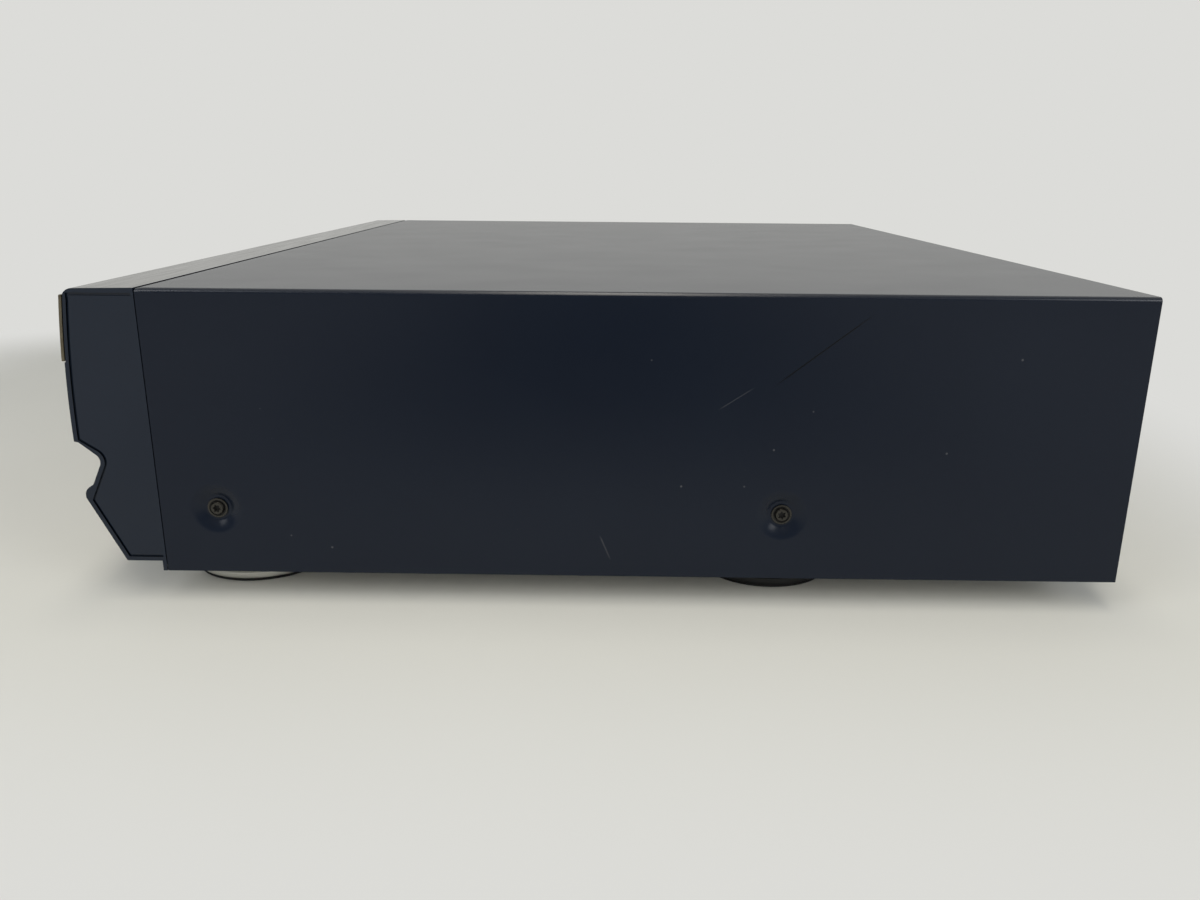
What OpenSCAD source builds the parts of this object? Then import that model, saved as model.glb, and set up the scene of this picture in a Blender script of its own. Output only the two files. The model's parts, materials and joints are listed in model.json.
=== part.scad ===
/* [Cabinet] */
// Overall width of the cabinet
body_w = 440; // [438:1:460]
// Depth of the folded cover from the fascia seam to the rear
cover_d = 342; // [342:1:370]
// Height of the cover from its lower edge to its top
cover_h = 102; // [100:1:116]
// Thickness of the sheet metal
sheet_t = 1; // [0.8:0.1:1.2]
// Outside radius of the cover's two folds
fold_r = 1.6; // [1.3:0.1:4]
// Height of the cover's turned-down rear lip
rear_lip_h = 12; // [10:1:16]
// Gap at the seam between the cover and the fascia
seam_gap = 0.3; // [0.2:0.1:0.6]
// Height of the chassis floor above the cover's lower edge
chassis_z = 1; // [0.6:0.1:2]
// Height of the chassis side flanges
flange_h = 40; // [34:1:50]
// Height of the chassis front wall
front_wall_h = 58; // [50:1:62]

/* [Screws] */
// Distance of the front side screws behind the seam
side_screw_front = 20; // [16:1:30]
// Distance of the rear side screws behind the seam
side_screw_rear = 221; // [200:1:240]
// Height of the side screws above the cover's lower edge
side_screw_z = 24; // [16:1:30]
// Radius of the pressed dimple round a side screw
dimple_r = 9; // [8:0.5:11]
// Radius of the dimple's flat floor
dimple_floor_r = 4.8; // [4.2:0.1:6]
// Depth of the dimple
dimple_d = 1.8; // [1.2:0.1:2.4]
// Radius of the screw heads
head_r = 3.6; // [3.2:0.1:4]
// Height of the screw heads
head_h = 1.6; // [1.2:0.1:2]
// Radius of the screw shanks
screw_r = 1.75; // [1.5:0.05:2]
// Clearance round a shank in its hole
screw_fit = 0.25; // [0.1:0.05:0.4]

/* [Feet] */
// Height of the feet below the cover's lower edge
foot_h = 12; // [9:0.5:18]
// Radius of the turned front feet
front_foot_r = 26; // [20:0.5:30]
// Radius of the moulded rear feet
rear_foot_r = 25.5; // [20:0.5:30]
// Distance of the foot centres from the cabinet's sides
foot_inset = 44; // [40:1:60]
// Distance of the front feet behind the seam
front_foot_y = 20; // [16:1:40]
// Distance of the rear feet behind the seam
rear_foot_y = 222; // [200:1:300]
// Thickness of the rubber pads
pad_t = 1; // [0.8:0.1:2]

/* [Fascia] */
// Depth of the fascia at its fullest point
fascia_d = 27.6; // [26:0.2:32]
// Wall thickness of the fascia moulding
fascia_wall = 2.6; // [2:0.1:3]
// Height of the fullest point of the front face
belly_z = 50; // [46:1:56]
// How far the front face leans back at its top corner
top_set_back = 2.8; // [2:0.1:4]
// Radius of the top front corner
corner_r = 4; // [2:0.5:5]
// Height of the shelf edge above the finger groove
shelf_z = 48; // [46:0.5:50]
// Height of the deepest line of the finger groove
notch_z = 41; // [39:0.5:42]
// Depth of the finger groove behind the fullest point
notch_d = 8.3; // [6:0.1:10]
// Radius of the finger groove's floor
notch_r = 3.2; // [2.6:0.1:4]
// How far the lower band stands behind the fullest point
lip_set_back = 1.5; // [1:0.1:4]
// Height of the centre of the lower band's rounded nose
lip_z = 28.7; // [27:0.1:30]
// Radius of the lower band's rounded nose
lip_r = 3.2; // [2:0.1:4]
// Height where the sloped lower band starts
chamfer_z = 27.6; // [24:0.2:28]
// How far the slope runs back
chamfer_run = 11.7; // [8:0.1:14]
// Height of the fascia's flat underside
base_z = 3.8; // [3:0.1:5]
// Thickness of the tab behind the underside
tab_t = 1.7; // [1.4:0.1:3]
// Width of the rim round the end cheeks
cheek_rim = 1.5; // [1:0.1:4]
// Width of the groove inside that rim
cheek_groove_w = 0.9; // [0.8:0.1:2]
// Depth of that groove
cheek_groove_d = 0.8; // [0.4:0.1:1.2]

/* [Front controls] */
// How far the keys stand proud of the fascia
key_proud = 1.5; // [1:0.1:3]
// Travel of the keys
key_travel = 1.2; // [0.8:0.1:1.5]
// Clearance round the keys
key_fit = 0.3; // [0.2:0.05:0.5]
// Width of the display window
window_w = 152; // [120:1:156]
// Share of the front band's height that the display window takes
window_share = 0.69; // [0.5:0.01:0.7]
// Radius of the level knob
knob_r = 8; // [6:0.5:9]
// Length of the level knob
knob_len = 9; // [7:0.5:14]
// Radius of the headphone jack's bore
jack_r = 3.25; // [3.2:0.01:3.4]
// Depth of the headphone jack's bore
jack_bore_len = 22; // [18:1:22]

/* [Drawer] */
// How far the drawer strip stands proud of the fascia
strip_proud = 1.1; // [0.8:0.1:2]
// Depth of the seat for the strip in the fascia
strip_seat = 0.4; // [0.3:0.1:0.8]
// Running gap between the strip and its seat
strip_gap = 0.3; // [0.2:0.05:0.3]
// Distance of the strip's upper edge below the cabinet's top
strip_drop = 2.5; // [2:0.1:4]
// How far the strip reaches below the tray
strip_below = 2.3; // [1.8:0.1:3]
// How far the drawer slides out
drawer_travel = 235; // [180:1:240]
// Thickness of the tray floor
tray_t = 2.5; // [2:0.1:3]
// Running gap of the tray in its runners
runner_gap = 0.3; // [0.2:0.05:0.5]

/* [Carousel] */
// Radius of a disc well
well_r = 60.5; // [60.3:0.1:61]
// Wall between neighbouring wells
well_wall = 1.85; // [1.2:0.05:2.2]
// Rim outside the wells
platter_rim = 1.5; // [1:0.1:2]
// Thickness of the carousel's plate
platter_t = 4.5; // [4:0.1:5]
// Depth of the disc wells
well_depth = 2.5; // [2:0.1:2.8]
// Half width of the slot that lets the pick-up through
slot_half = 23; // [21:0.5:25]
// Height of the drive space under the plate
drive_gap = 8; // [7.6:0.1:9]
// Radius of the carousel's shaft
pivot_r = 4; // [3:0.5:6]
// Running clearance of shafts in their bores
run_fit = 0.06; // [0.03:0.01:0.09]

/* [Pick-up unit] */
// Height by which the disc table is lifted
lift = 11; // [9:0.5:12]
// Distance of the unit's hinge behind the spindle
hinge_arm = 76.5; // [74:0.5:77]
// Travel of the optical sled
sled_travel = 35; // [30:1:35]
// Travel of the cam slider that lifts the unit
cam_travel = 40; // [36:1:44]
// Radius of the sled's guide rods
rod_r = 1.5; // [1.2:0.1:2]

/* [Rear] */
// Radius of the output jacks' outer shells
phono_r = 4.15; // [4.1:0.01:4.2]
// How far the output jacks stand out
phono_len = 9; // [8:0.5:10]

/* [Hidden] */
$fn = 96;

// Small overlap that keeps cuts clean
cut = 0.5;
// Gap between parts that must not touch
clear = 0.3;
// Gap between parts that move past one another
loose = 0.5;
half_w = body_w / 2;
floor_top = chassis_z + sheet_t;
chassis_half = half_w - sheet_t - dimple_d;
panel_y = cover_d - 2 * sheet_t;
flange_end = panel_y - 4;
screw_hole_r = screw_r + screw_fit;
side_shank = 8;
rear_shank = 7;
foot_shank = 3;
rear_screw_x = [30 - half_w, 0, half_w - 30];

// Heights, counted down from the cover's underside
clamper_top = cover_h - sheet_t - loose;
clamper_flange_t = 1;
clamper_neck_r = 12.5;
bridge_t = 1.2;
bridge_z = clamper_top - clamper_flange_t - runner_gap - bridge_t;
disc_space = 4;
platter_top = bridge_z - disc_space;
platter_low = platter_top - platter_t;
well_floor = platter_top - well_depth;
tray_top = platter_low - drive_gap;
tray_low = tray_top - tray_t;
deck_space = 10;
deck_top = tray_low - deck_space;
deck_t = 3;
deck_low = deck_top - deck_t;
strip_low = tray_low - strip_below;
strip_top = cover_h - strip_drop;

// Feet
foot_bore_r = 6;
foot_seat_z = -5;
foot_edge = 0.5;
foot_boss_r = 16;
foot_rim_z = -0.4;

// Fascia outline
roof_z = cover_h - clear;
corner_z = roof_z - corner_r;
belly_r = pow(corner_z - belly_z, 2) / (2 * top_set_back);
lip_y = lip_set_back - fascia_d;
notch_y = notch_d - fascia_d;
band_z = (shelf_z + strip_low) / 2;
band_h = strip_low - shelf_z;
inner_base = base_z + fascia_wall;
inner_lip = lip_y + fascia_wall;
inner_shelf = shelf_z + fascia_wall;
inner_roof = roof_z - fascia_wall;
wall_ease = 1;
shelf_ease = 1.5;
groove_ease = 3;
front_steps = 12;
lip_steps = 5;
notch_steps = 6;
corner_steps = 6;
lip_turn = 126;
step_run = 3.2;
step_rise = 3.9;
notch_from = -25;
notch_to = 50;
function front_y(z) = pow(z - belly_z, 2) / (2 * belly_r) - fascia_d;
function arc(y, z, r, from, to, steps) =
  [for (i = [0:steps]) let (a = from + (to - from) * i / steps) [y + r * cos(a), z + r * sin(a)]];
function front_line(low, high, shift = 0) =
  [for (i = [0:front_steps]) let (z = low + (high - low) * i / front_steps) [front_y(z) + shift, z]];
chamfer_low = [lip_y + chamfer_run, base_z];
chamfer_high = [lip_y, chamfer_z];
step_at = [lip_y + step_run, lip_z + step_rise];
notch_line = arc(notch_y - notch_r, notch_z, notch_r, notch_from, notch_to, notch_steps);
outline = concat(
  [[-seam_gap, 0], [-tab_t, 0], [-tab_t, base_z], chamfer_low, chamfer_high],
  arc(lip_y + lip_r, lip_z, lip_r, 180, lip_turn, lip_steps),
  [step_at],
  notch_line,
  [[front_y(shelf_z) + shelf_ease, shelf_z]],
  front_line(shelf_z + clear, corner_z),
  arc(front_y(corner_z) + corner_r, corner_z, corner_r, 180, 90, corner_steps),
  [[-seam_gap, cover_h]]);
cavity = concat(
  [[cut, inner_base], [lip_y + chamfer_run + wall_ease, inner_base],
   [inner_lip + wall_ease / 2, chamfer_z + cut], [inner_lip + wall_ease, lip_z],
   [notch_y + fascia_wall, notch_z], [front_y(shelf_z) + fascia_wall + groove_ease, inner_shelf]],
  front_line(inner_shelf + clear, corner_z, fascia_wall),
  [[front_y(corner_z) + corner_r, inner_roof], [cut, inner_roof]]);
// Point where the line through a and b meets the line through c and d
function meet(a, b, c, d) = let (u = b - a, v = d - c, w = c - a)
  a + u * (w[0] * v[1] - w[1] * v[0]) / (u[0] * v[1] - u[1] * v[0]);
// Plain outline that the groove in the end cheeks follows: it passes behind the nose
cheek_run = 2 * cheek_rim;
cheek = concat(
  [[cheek_run, base_z], chamfer_low, meet(chamfer_low, chamfer_high, step_at, notch_line[0])],
  notch_line,
  front_line(shelf_z, corner_z),
  [[front_y(corner_z), roof_z], [cheek_run, roof_z]]);
cheek_stop = 1.2;
function unit(v) = v / norm(v);
function inner_normal(a, b) = let (u = unit(b - a)) [u[1], -u[0]];
// Moves each corner of a clockwise outline inwards by d
function inset(p, d) = [for (i = [0:len(p) - 1])
  let (n = len(p), u = inner_normal(p[(i + n - 1) % n], p[i]), v = inner_normal(p[i], p[(i + 1) % n]))
  p[i] + (u + v) * d / (1 + u * v)];

// Controls: x, z, width and height of each key
key_share = 0.279;
row_share = 0.209;
power_share = 0.35;
key_h = band_h * key_share;
row_step = band_h * row_share;
power_h = band_h * power_share;
window_h = band_h * window_share;
row_high = band_z + row_step;
row_low = band_z - row_step;
disc_key_x = half_w - 144;
disc_key_step = 16;
disc_key_w = 12;
function disc_key(i) = [disc_key_x + disc_key_step * (i - 1), row_high, disc_key_w, key_h];
power_key = [28 - half_w, band_z, 22, power_h];
skip_disc_key = [half_w - 56, row_high, 22, key_h];
open_key = [half_w - 26, row_high, 24, key_h];
play_key = [half_w - 138, row_low, 24, key_h];
pause_key = [half_w - 109, row_low, 24, key_h];
stop_key = [half_w - 80, row_low, 24, key_h];
back_key = [half_w - 53, row_low, 22, key_h];
forward_key = [half_w - 26, row_low, 24, key_h];
keys = concat([power_key, skip_disc_key, open_key, play_key, pause_key, stop_key, back_key, forward_key],
  [for (i = [1:5]) disc_key(i)]);
key_flange = 1.2;
key_flange_y = front_y(strip_low) + fascia_wall + 0.4;
key_tail = 3;
key_tail_y = key_flange_y + key_flange + 2.5;
plunger_y = key_tail_y + key_travel + clear;
board_t = 1.6;
board_y = plunger_y + 6.5;
window_x = -22;
window_key = [window_x, band_z, window_w, window_h];
jack_x = 60 - half_w;
jack_bush_r = 5.2;
jack_body = 15;
knob_x = 89 - half_w;
boss_x = [8 - half_w, -110, 62, half_w - 8];
pot_r = 3;
pot_body = 13;
pot_d = 7;
knob_gap = 0.4;

// Places front to rear
tray_wall_y = 10.6 - fascia_d;
ring_r = (well_r + well_wall / 2) / sin(36);
platter_r = ring_r + well_r + platter_rim;
platter_y = tray_wall_y + loose + platter_r;
tray_rear = platter_y + platter_r + 1.5;
spindle_y = platter_y + ring_r;
hinge_y = spindle_y + hinge_arm;
front_most = knob_len + knob_gap + fascia_d;
rear_most = panel_y + sheet_t + phono_len;
seam_y = (front_most - rear_most) / 2;

// Gears: module, tooth counts and the play between teeth
pressure = 20;
tooth_add = 0.8;
tooth_ded = 1.1;
flank_steps = 3;
mesh_play = 0.1;
tray_m = 1.5;
tray_play = 0.32;
fine_m = 1;
fine_play = 0.26;
platter_teeth = 54;
drive_teeth = 14;
pinion_teeth = 16;
spur_teeth = 26;
small_teeth = 14;
function pitch_r(teeth, m) = teeth * m / 2;
function inv(a) = tan(a) * 180 / PI - a;
function half_tooth(r, m, play, rho) = let (base = r * cos(pressure))
  (PI * m / 2 - play) / (2 * r) * 180 / PI + inv(pressure) - (rho > base ? inv(acos(base / rho)) : 0);
function polar(r, a) = [r * cos(a), r * sin(a)];
function gear_points(teeth, m, play) = let (
  r = pitch_r(teeth, m), root = r - tooth_ded * m, tip = r + tooth_add * m, n = flank_steps,
  start = max(root + 0.05 * m, r * cos(pressure)),
  radii = concat([root], [for (k = [0:n]) start + (tip - start) * k / n]))
  [for (i = [0:teeth - 1]) each concat(
    [for (k = [0:n + 1]) polar(radii[k], 360 * i / teeth - half_tooth(r, m, play, radii[k]))],
    [for (k = [n + 1:-1:0]) polar(radii[k], 360 * i / teeth + half_tooth(r, m, play, radii[k]))])];
// Rack teeth that point along +x, counted both ways from y = 0
function rack_points(back, low, high, m, play) = let (
  p = PI * m, half = p / 4 - play / 2, add = tooth_add * m, ded = tooth_ded * m)
  concat([[back, low * p - p / 2]], [for (i = [low:high]) each [
    [-ded, i * p - half - ded * tan(pressure)], [add, i * p - half + add * tan(pressure)],
    [add, i * p + half - add * tan(pressure)], [-ded, i * p + half + ded * tan(pressure)]]],
    [[back, high * p + p / 2]]);

// Line of a belt round two pulleys
belt_steps = 24;
function belt_points(a, r_a, b, r_b) = let (
  d = b - a, bearing = atan2(d[1], d[0]), spread = acos((r_a - r_b) / norm(d)), n = belt_steps)
  concat([for (i = [0:n]) a + polar(r_a, bearing + spread + (360 - 2 * spread) * i / n)],
    [for (i = [0:n]) b + polar(r_b, bearing - spread + 2 * spread * i / n)]);

// Drawer tray and its openings
tray_wall_in = platter_r + 4.5;
tray_wall_t = 2.5;
lip_w = 14;
lip_half = tray_wall_in + tray_wall_t + lip_w;
tray_open_half = 34;
mouth_half = lip_half + 2.5;
mouth_low = tray_low - 1.2;
mouth_high = strip_top - 1;

// Drawer drive at the right-hand runner
rack_pitch_x = lip_half - tooth_add * tray_m;
rack_root_x = rack_pitch_x - tooth_ded * tray_m;
rack_back = 8;
pinion_r = pitch_r(pinion_teeth, tray_m);
pinion_x = rack_pitch_x + pinion_r + mesh_play;
pinion_y = 26;
spur_mesh = pitch_r(spur_teeth + small_teeth, fine_m) + mesh_play;
pulley_y = pinion_y + spur_mesh;
pulley_r = 11;
belt_reach = 52;
drawer_motor_y = pulley_y + belt_reach;
motor_pulley_r = 4;
belt_t = 1.4;
belt_h = 2;
belt_gap = 0.3;
axle_r = 2;
spur_z = deck_top + 1;
spur_h = 4;
spur_hub_r = 6;
pulley_z = spur_z + spur_h + clear;
pulley_h = 3.4;
pinion_low = tray_low - 0.7;
pinion_high = tray_top + 0.9;
wall_in = lip_half + loose;
runner_wall = 3;
runner_top = tray_top + runner_gap;
notch_front = 9;
notch_rear = drawer_motor_y + 12;

// Carousel drive on the tray
table_motor = [23 - tray_wall_in, tray_wall_y + 25];
table_bearing = atan2(table_motor[1] - platter_y, table_motor[0]);
platter_gear_r = pitch_r(platter_teeth, tray_m);
platter_gear_wall = 5;
drive_mesh = platter_gear_r + pitch_r(drive_teeth, tray_m) + mesh_play;
drive_at = [drive_mesh * cos(table_bearing), platter_y + drive_mesh * sin(table_bearing)];
drive_pulley_r = 14;
drive_pulley_z = tray_top + loose;
drive_pulley_h = 2.4;
platter_gear_z = drive_pulley_z + drive_pulley_h + loose;
pivot_boss_r = 8;
hub_r = 12;
hub_top = platter_top + 1;
cap_r = 15;
cap_t = 1.6;

// Motors
motor_r = 12;
motor_shaft_r = 1.5;
motor_boss_len = 1.5;
motor_bore_len = 7;
motor_ring = 2;
boss_hole_r = 4.4;
table_motor_h = 11.5;
table_motor_z = drive_pulley_z + drive_pulley_h + 0.4;
drawer_motor_h = 24;
spindle_motor_h = 11;
lift_motor_h = 22;
shaft_in = 6;

// Pick-up unit, drawn level in its raised place and then tilted down to rest
hinge_drop = 5;
hinge_z = tray_low - hinge_drop;
frame_t = 3;
frame_low = hinge_z + 1;
frame_top = frame_low + frame_t;
tilt = asin(lift / hinge_arm);
disc_seat = well_floor + 1.4;
table_r = 16;
cone_h = 1.5;
sled_home = 23;
sled_y = spindle_y + sled_home;
sled_half = 12;
rod_x = 21;
rod_z = frame_top + 4;
rod_front = spindle_y + 4.5;
rod_rear = hinge_y - 3;
post_t = 3;
frame_half = 29;
frame_front = spindle_y - 32.5;
tray_open_y = frame_front - 20;
open_half = 20;
sled_top = rod_z + 3;
sled_low = rod_z - 3;
sled_end = rod_x + 3.5;
lens_top = disc_seat - 2.6;
sled_rack_x = -18;
sled_rack_back = 5;
sled_pinion_r = pitch_r(small_teeth, fine_m);
sled_pinion_x = sled_rack_x - sled_pinion_r - mesh_play;
sled_pinion_y = sled_y + 8.5;
sled_rack_z = frame_low - 4.5;
sled_rack_h = 3.5;
ear_out = 35;
ear_in = frame_half + 1.3;
peg_r = 2;
peg_drop = 6;
peg_z = hinge_z - peg_drop;
cam_y = frame_front - 8;
cam_t = 3;
cam_mid = cam_y + cam_t / 2;
cam_rear = cam_y + cam_t;
peg_rest_z = hinge_z - (hinge_y - cam_mid) * tan(tilt) - peg_drop / cos(tilt);
slot_half_h = peg_r + cam_t / 2 * tan(tilt) + 0.4;
bar_low = peg_rest_z - 7.2;
bar_high = bar_low + 4;
guide_gap = 0.3;
guide_t = 2.7;
channel_z = bar_low - guide_gap;
lift_x = 45;
lift_r = pitch_r(small_teeth, fine_m);
lift_rack_y = cam_rear + 2;
lift_y = lift_rack_y + lift_r + mesh_play;
lift_rack_z = bar_low + 1.8;
lift_rack_h = 2.2;

// Base plate
deck_half = half_w - 8;
deck_front = 6;
deck_rear = hinge_y + 6;
opening_half = 46;
opening_rear = hinge_y - 8;
leg_r = 6;
leg_x = half_w - 25;
leg_rear = deck_rear - 27;
front_leg = [90, 20];
deck_legs = [[-leg_x, 40], [leg_x, 150], [-leg_x, leg_rear], [leg_x, leg_rear],
  [-front_leg[0], front_leg[1]], front_leg];

// Boards and power supply
board_z = floor_top + 6;
board_top = board_z + board_t;
board_side = half_w - 35;
signal_board = [[-board_side, 130], [-70, flange_end]];
power_board = [[70, 60], [board_side, 190]];
phono_step = 20;
phono_first = 60 - half_w;
phono_x = [phono_first, phono_first + phono_step];
phono_z = board_z + 14;
phono_base_r = phono_r + 0.7;
inlet_x = half_w - 70;
inlet_z = 26;
inlet_half_w = 10.4;
inlet_half_h = 6.9;
transformer_at = [half_w - 70, flange_end - 74];

// Colours
paint = "#1f2329";
plastic = "#2a2d31";
bronze = "#756f60";
steel = "#a8a9a6";
zinc = "#8f9193";
black = "#141517";
silver = "#b4b3ad";
moulded = "#3c3f43";
white = "#d8d6cd";
green = "#2f5d3a";
brass = "#a8823c";
copper = "#9a5f36";
glass = "#1a1f22";
grey = "#6d7074";

module placed() {
  translate([0, seam_y, foot_h]) children();
}
module both_sides() {
  children();
  mirror([1, 0, 0]) children();
}
module block(low, high) {
  translate(low) cube(high - low);
}
module along_x(w) {
  rotate([90, 0, 90]) linear_extrude(w, center = true) children();
}
module along_y(d) {
  translate([0, d, 0]) rotate([90, 0, 0]) linear_extrude(d) children();
}
module rod_along_x(r, h) {
  rotate([0, 90, 0]) cylinder(r = r, h = h);
}
module rod_along_y(r, h) {
  rotate([-90, 0, 0]) cylinder(r = r, h = h);
}
module ring(r_out, r_in, h) {
  difference() {
    cylinder(r = r_out, h = h);
    translate([0, 0, -cut]) cylinder(r = r_in, h = h + 2 * cut);
  }
}
module gear(teeth, m, play, h, turn) {
  rotate(turn) linear_extrude(h) polygon(gear_points(teeth, m, play));
}
module belt_loop(a, r_a, b, r_b) {
  difference() {
    polygon(belt_points(a, r_a + belt_gap + belt_t, b, r_b + belt_gap + belt_t));
    polygon(belt_points(a, r_a + belt_gap, b, r_b + belt_gap));
  }
}
// Pulley with two flanges that the belt lies between
module pulley(r, h) {
  rim_h = (h - belt_h - 2 * belt_gap) / 2;
  cylinder(r = r, h = h);
  cylinder(r = r + belt_t, h = rim_h);
  translate([0, 0, h - rim_h]) cylinder(r = r + belt_t, h = rim_h);
}
module can_motor(r, h) {
  boss_r = r / 3;
  difference() {
    union() {
      cylinder(r = r, h = h);
      translate([0, 0, -motor_boss_len]) cylinder(r = boss_r, h = motor_boss_len + cut);
    }
    translate([0, 0, h - motor_bore_len]) cylinder(r = motor_shaft_r + run_fit, h = motor_bore_len + cut);
  }
}

// The folded steel cover
module fold_shape(half, h, r, drop) {
  translate([-half, -drop]) square([2 * half, h - r + drop]);
  translate([r - half, -drop]) square([2 * (half - r), h + drop]);
  for (side = [-1, 1]) translate([side * (half - r), h - r]) circle(r);
}
module at_side_screws() {
  for (y = [side_screw_front, side_screw_rear]) both_sides()
    translate([half_w - dimple_d, y, side_screw_z]) rotate([0, 90, 0]) children();
}
module at_rear_screws() {
  for (x = rear_screw_x) translate([x, cover_d, cover_h - rear_lip_h / 2]) rotate([-90, 0, 0]) children();
}
// Hole for a screw, drawn both ways from the seat of its head
module screw_hole() {
  reach = 2 * dimple_d + 4 * sheet_t;
  translate([0, 0, -reach]) cylinder(r = screw_hole_r, h = 2 * reach);
}
module top_cover() color(paint) placed() difference() {
  skin = sheet_t / 2;
  union() {
    along_y(cover_d) difference() {
      fold_shape(half_w, cover_h, fold_r, 0);
      fold_shape(half_w - sheet_t, cover_h - sheet_t, fold_r - sheet_t, cut);
    }
    block([skin - half_w, cover_d - sheet_t, cover_h - rear_lip_h],
      [half_w - skin, cover_d, cover_h - skin]);
    at_side_screws() translate([0, 0, -sheet_t])
      cylinder(r1 = dimple_floor_r + skin, r2 = dimple_r + skin, h = dimple_d + skin);
  }
  at_side_screws() cylinder(r1 = dimple_floor_r, r2 = dimple_r, h = dimple_d);
  at_side_screws() translate([0, 0, dimple_d]) cylinder(r = dimple_r, h = cut);
  at_side_screws() screw_hole();
  at_rear_screws() screw_hole();
}
// Pan head with a cross recess, drawn pointing along +z with its shank below
module screw(shank) {
  recess = 0.9;
  bar = 0.9;
  arm = 2.3;
  dome = 0.9;
  difference() {
    union() {
      cylinder(r = head_r, h = head_h / 2);
      translate([0, 0, head_h / 2]) cylinder(r1 = head_r, r2 = head_r - dome, h = head_h / 2);
      translate([0, 0, -shank]) cylinder(r = screw_r, h = shank + cut);
    }
    for (turn = [0, 90]) rotate(turn) translate([-arm, -bar / 2, head_h - recess])
      cube([2 * arm, bar, recess + cut]);
  }
}
module cover_side_screws() color(zinc) placed() at_side_screws() screw(side_shank);
module rear_screws() color(zinc) placed() at_rear_screws() screw(rear_shank);

// The folded chassis tray with its standoffs and vents
module at_feet(y) {
  for (side = [-1, 1]) translate([side * (half_w - foot_inset), y, 0]) children();
}
module bottom_chassis() color(zinc) placed() difference() {
  vent_w = 3;
  vent_len = 34;
  vent_step = 8;
  vent_y = [90, panel_y - 90];
  post_r = 3;
  post_in = 6;
  union() {
    block([-chassis_half, -seam_gap, chassis_z], [chassis_half, panel_y + sheet_t, floor_top]);
    block([-chassis_half, -seam_gap, chassis_z], [chassis_half, sheet_t - seam_gap, front_wall_h]);
    both_sides() block([chassis_half - sheet_t, -seam_gap, chassis_z],
      [chassis_half, flange_end, chassis_z + flange_h]);
    for (b = [signal_board, power_board])
      for (x = [b[0][0] + post_in, b[1][0] - post_in])
        for (y = [b[0][1] + post_in, b[1][1] - post_in])
          translate([x, y, chassis_z]) cylinder(r = post_r, h = board_z - chassis_z);
  }
  at_side_screws() screw_hole();
  for (y = [front_foot_y, rear_foot_y]) at_feet(y) cylinder(r = screw_hole_r, h = 2 * floor_top);
  for (i = [-4:4]) for (y = vent_y)
    translate([vent_step * i - vent_w / 2, y, 0]) cube([vent_w, vent_len, 2 * floor_top]);
}
module rear_panel() color(zinc) placed() difference() {
  half = half_w - sheet_t - loose;
  flange_d = 10;
  flange_x = [half - 30, half - 5];
  through = 3 * sheet_t;
  union() {
    block([-half, panel_y, floor_top], [half, panel_y + sheet_t, cover_h - sheet_t - loose]);
    both_sides() block([flange_x[0], panel_y - flange_d, floor_top],
      [flange_x[1], panel_y + cut, floor_top + sheet_t]);
  }
  at_rear_screws() screw_hole();
  for (x = phono_x) translate([x, panel_y - cut, phono_z]) rod_along_y(phono_base_r + clear, through);
  block([inlet_x - inlet_half_w, panel_y - cut, inlet_z - inlet_half_h],
    [inlet_x + inlet_half_w, panel_y + through, inlet_z + inlet_half_h]);
}

// Feet, pads and the screws that hold the feet
module foot_body(r) {
  low = pad_t - foot_h;
  groove_z = low + 3;
  groove_d = 0.6;
  groove_h = 0.4;
  rotate_extrude() polygon([[screw_hole_r, chassis_z], [foot_boss_r, chassis_z], [foot_boss_r, foot_rim_z],
    [r - foot_edge, foot_rim_z], [r, foot_rim_z - foot_edge], [r, groove_z + 2 * groove_h],
    [r - groove_d, groove_z + groove_h], [r - groove_d, groove_z], [r, groove_z - groove_h],
    [r, low + foot_edge], [r - foot_edge, low], [foot_bore_r, low], [foot_bore_r, foot_seat_z],
    [screw_hole_r, foot_seat_z]]);
}
module foot_pad(r) {
  edge = 0.4;
  bore = 2;
  translate([0, 0, -foot_h]) ring(r - edge, foot_bore_r + bore, pad_t);
}
module front_feet() color(silver) placed() at_feet(front_foot_y) foot_body(front_foot_r);
module rear_feet() color(black) placed() at_feet(rear_foot_y) foot_body(rear_foot_r);
module foot_pads() color(black) placed() {
  at_feet(front_foot_y) foot_pad(front_foot_r);
  at_feet(rear_foot_y) foot_pad(rear_foot_r);
}
module foot_screws() color(zinc) placed() for (y = [front_foot_y, rear_foot_y])
  at_feet(y) translate([0, 0, foot_seat_z]) mirror([0, 0, 1]) screw(floor_top - foot_seat_z + foot_shank);

// Block round the middle of a key, window or part on the front band
module key_cut(k, grow, y, d) {
  translate([k[0] - k[2] / 2 - grow, y, k[1] - k[3] / 2 - grow]) cube([k[2] + 2 * grow, d, k[3] + 2 * grow]);
}
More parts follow.
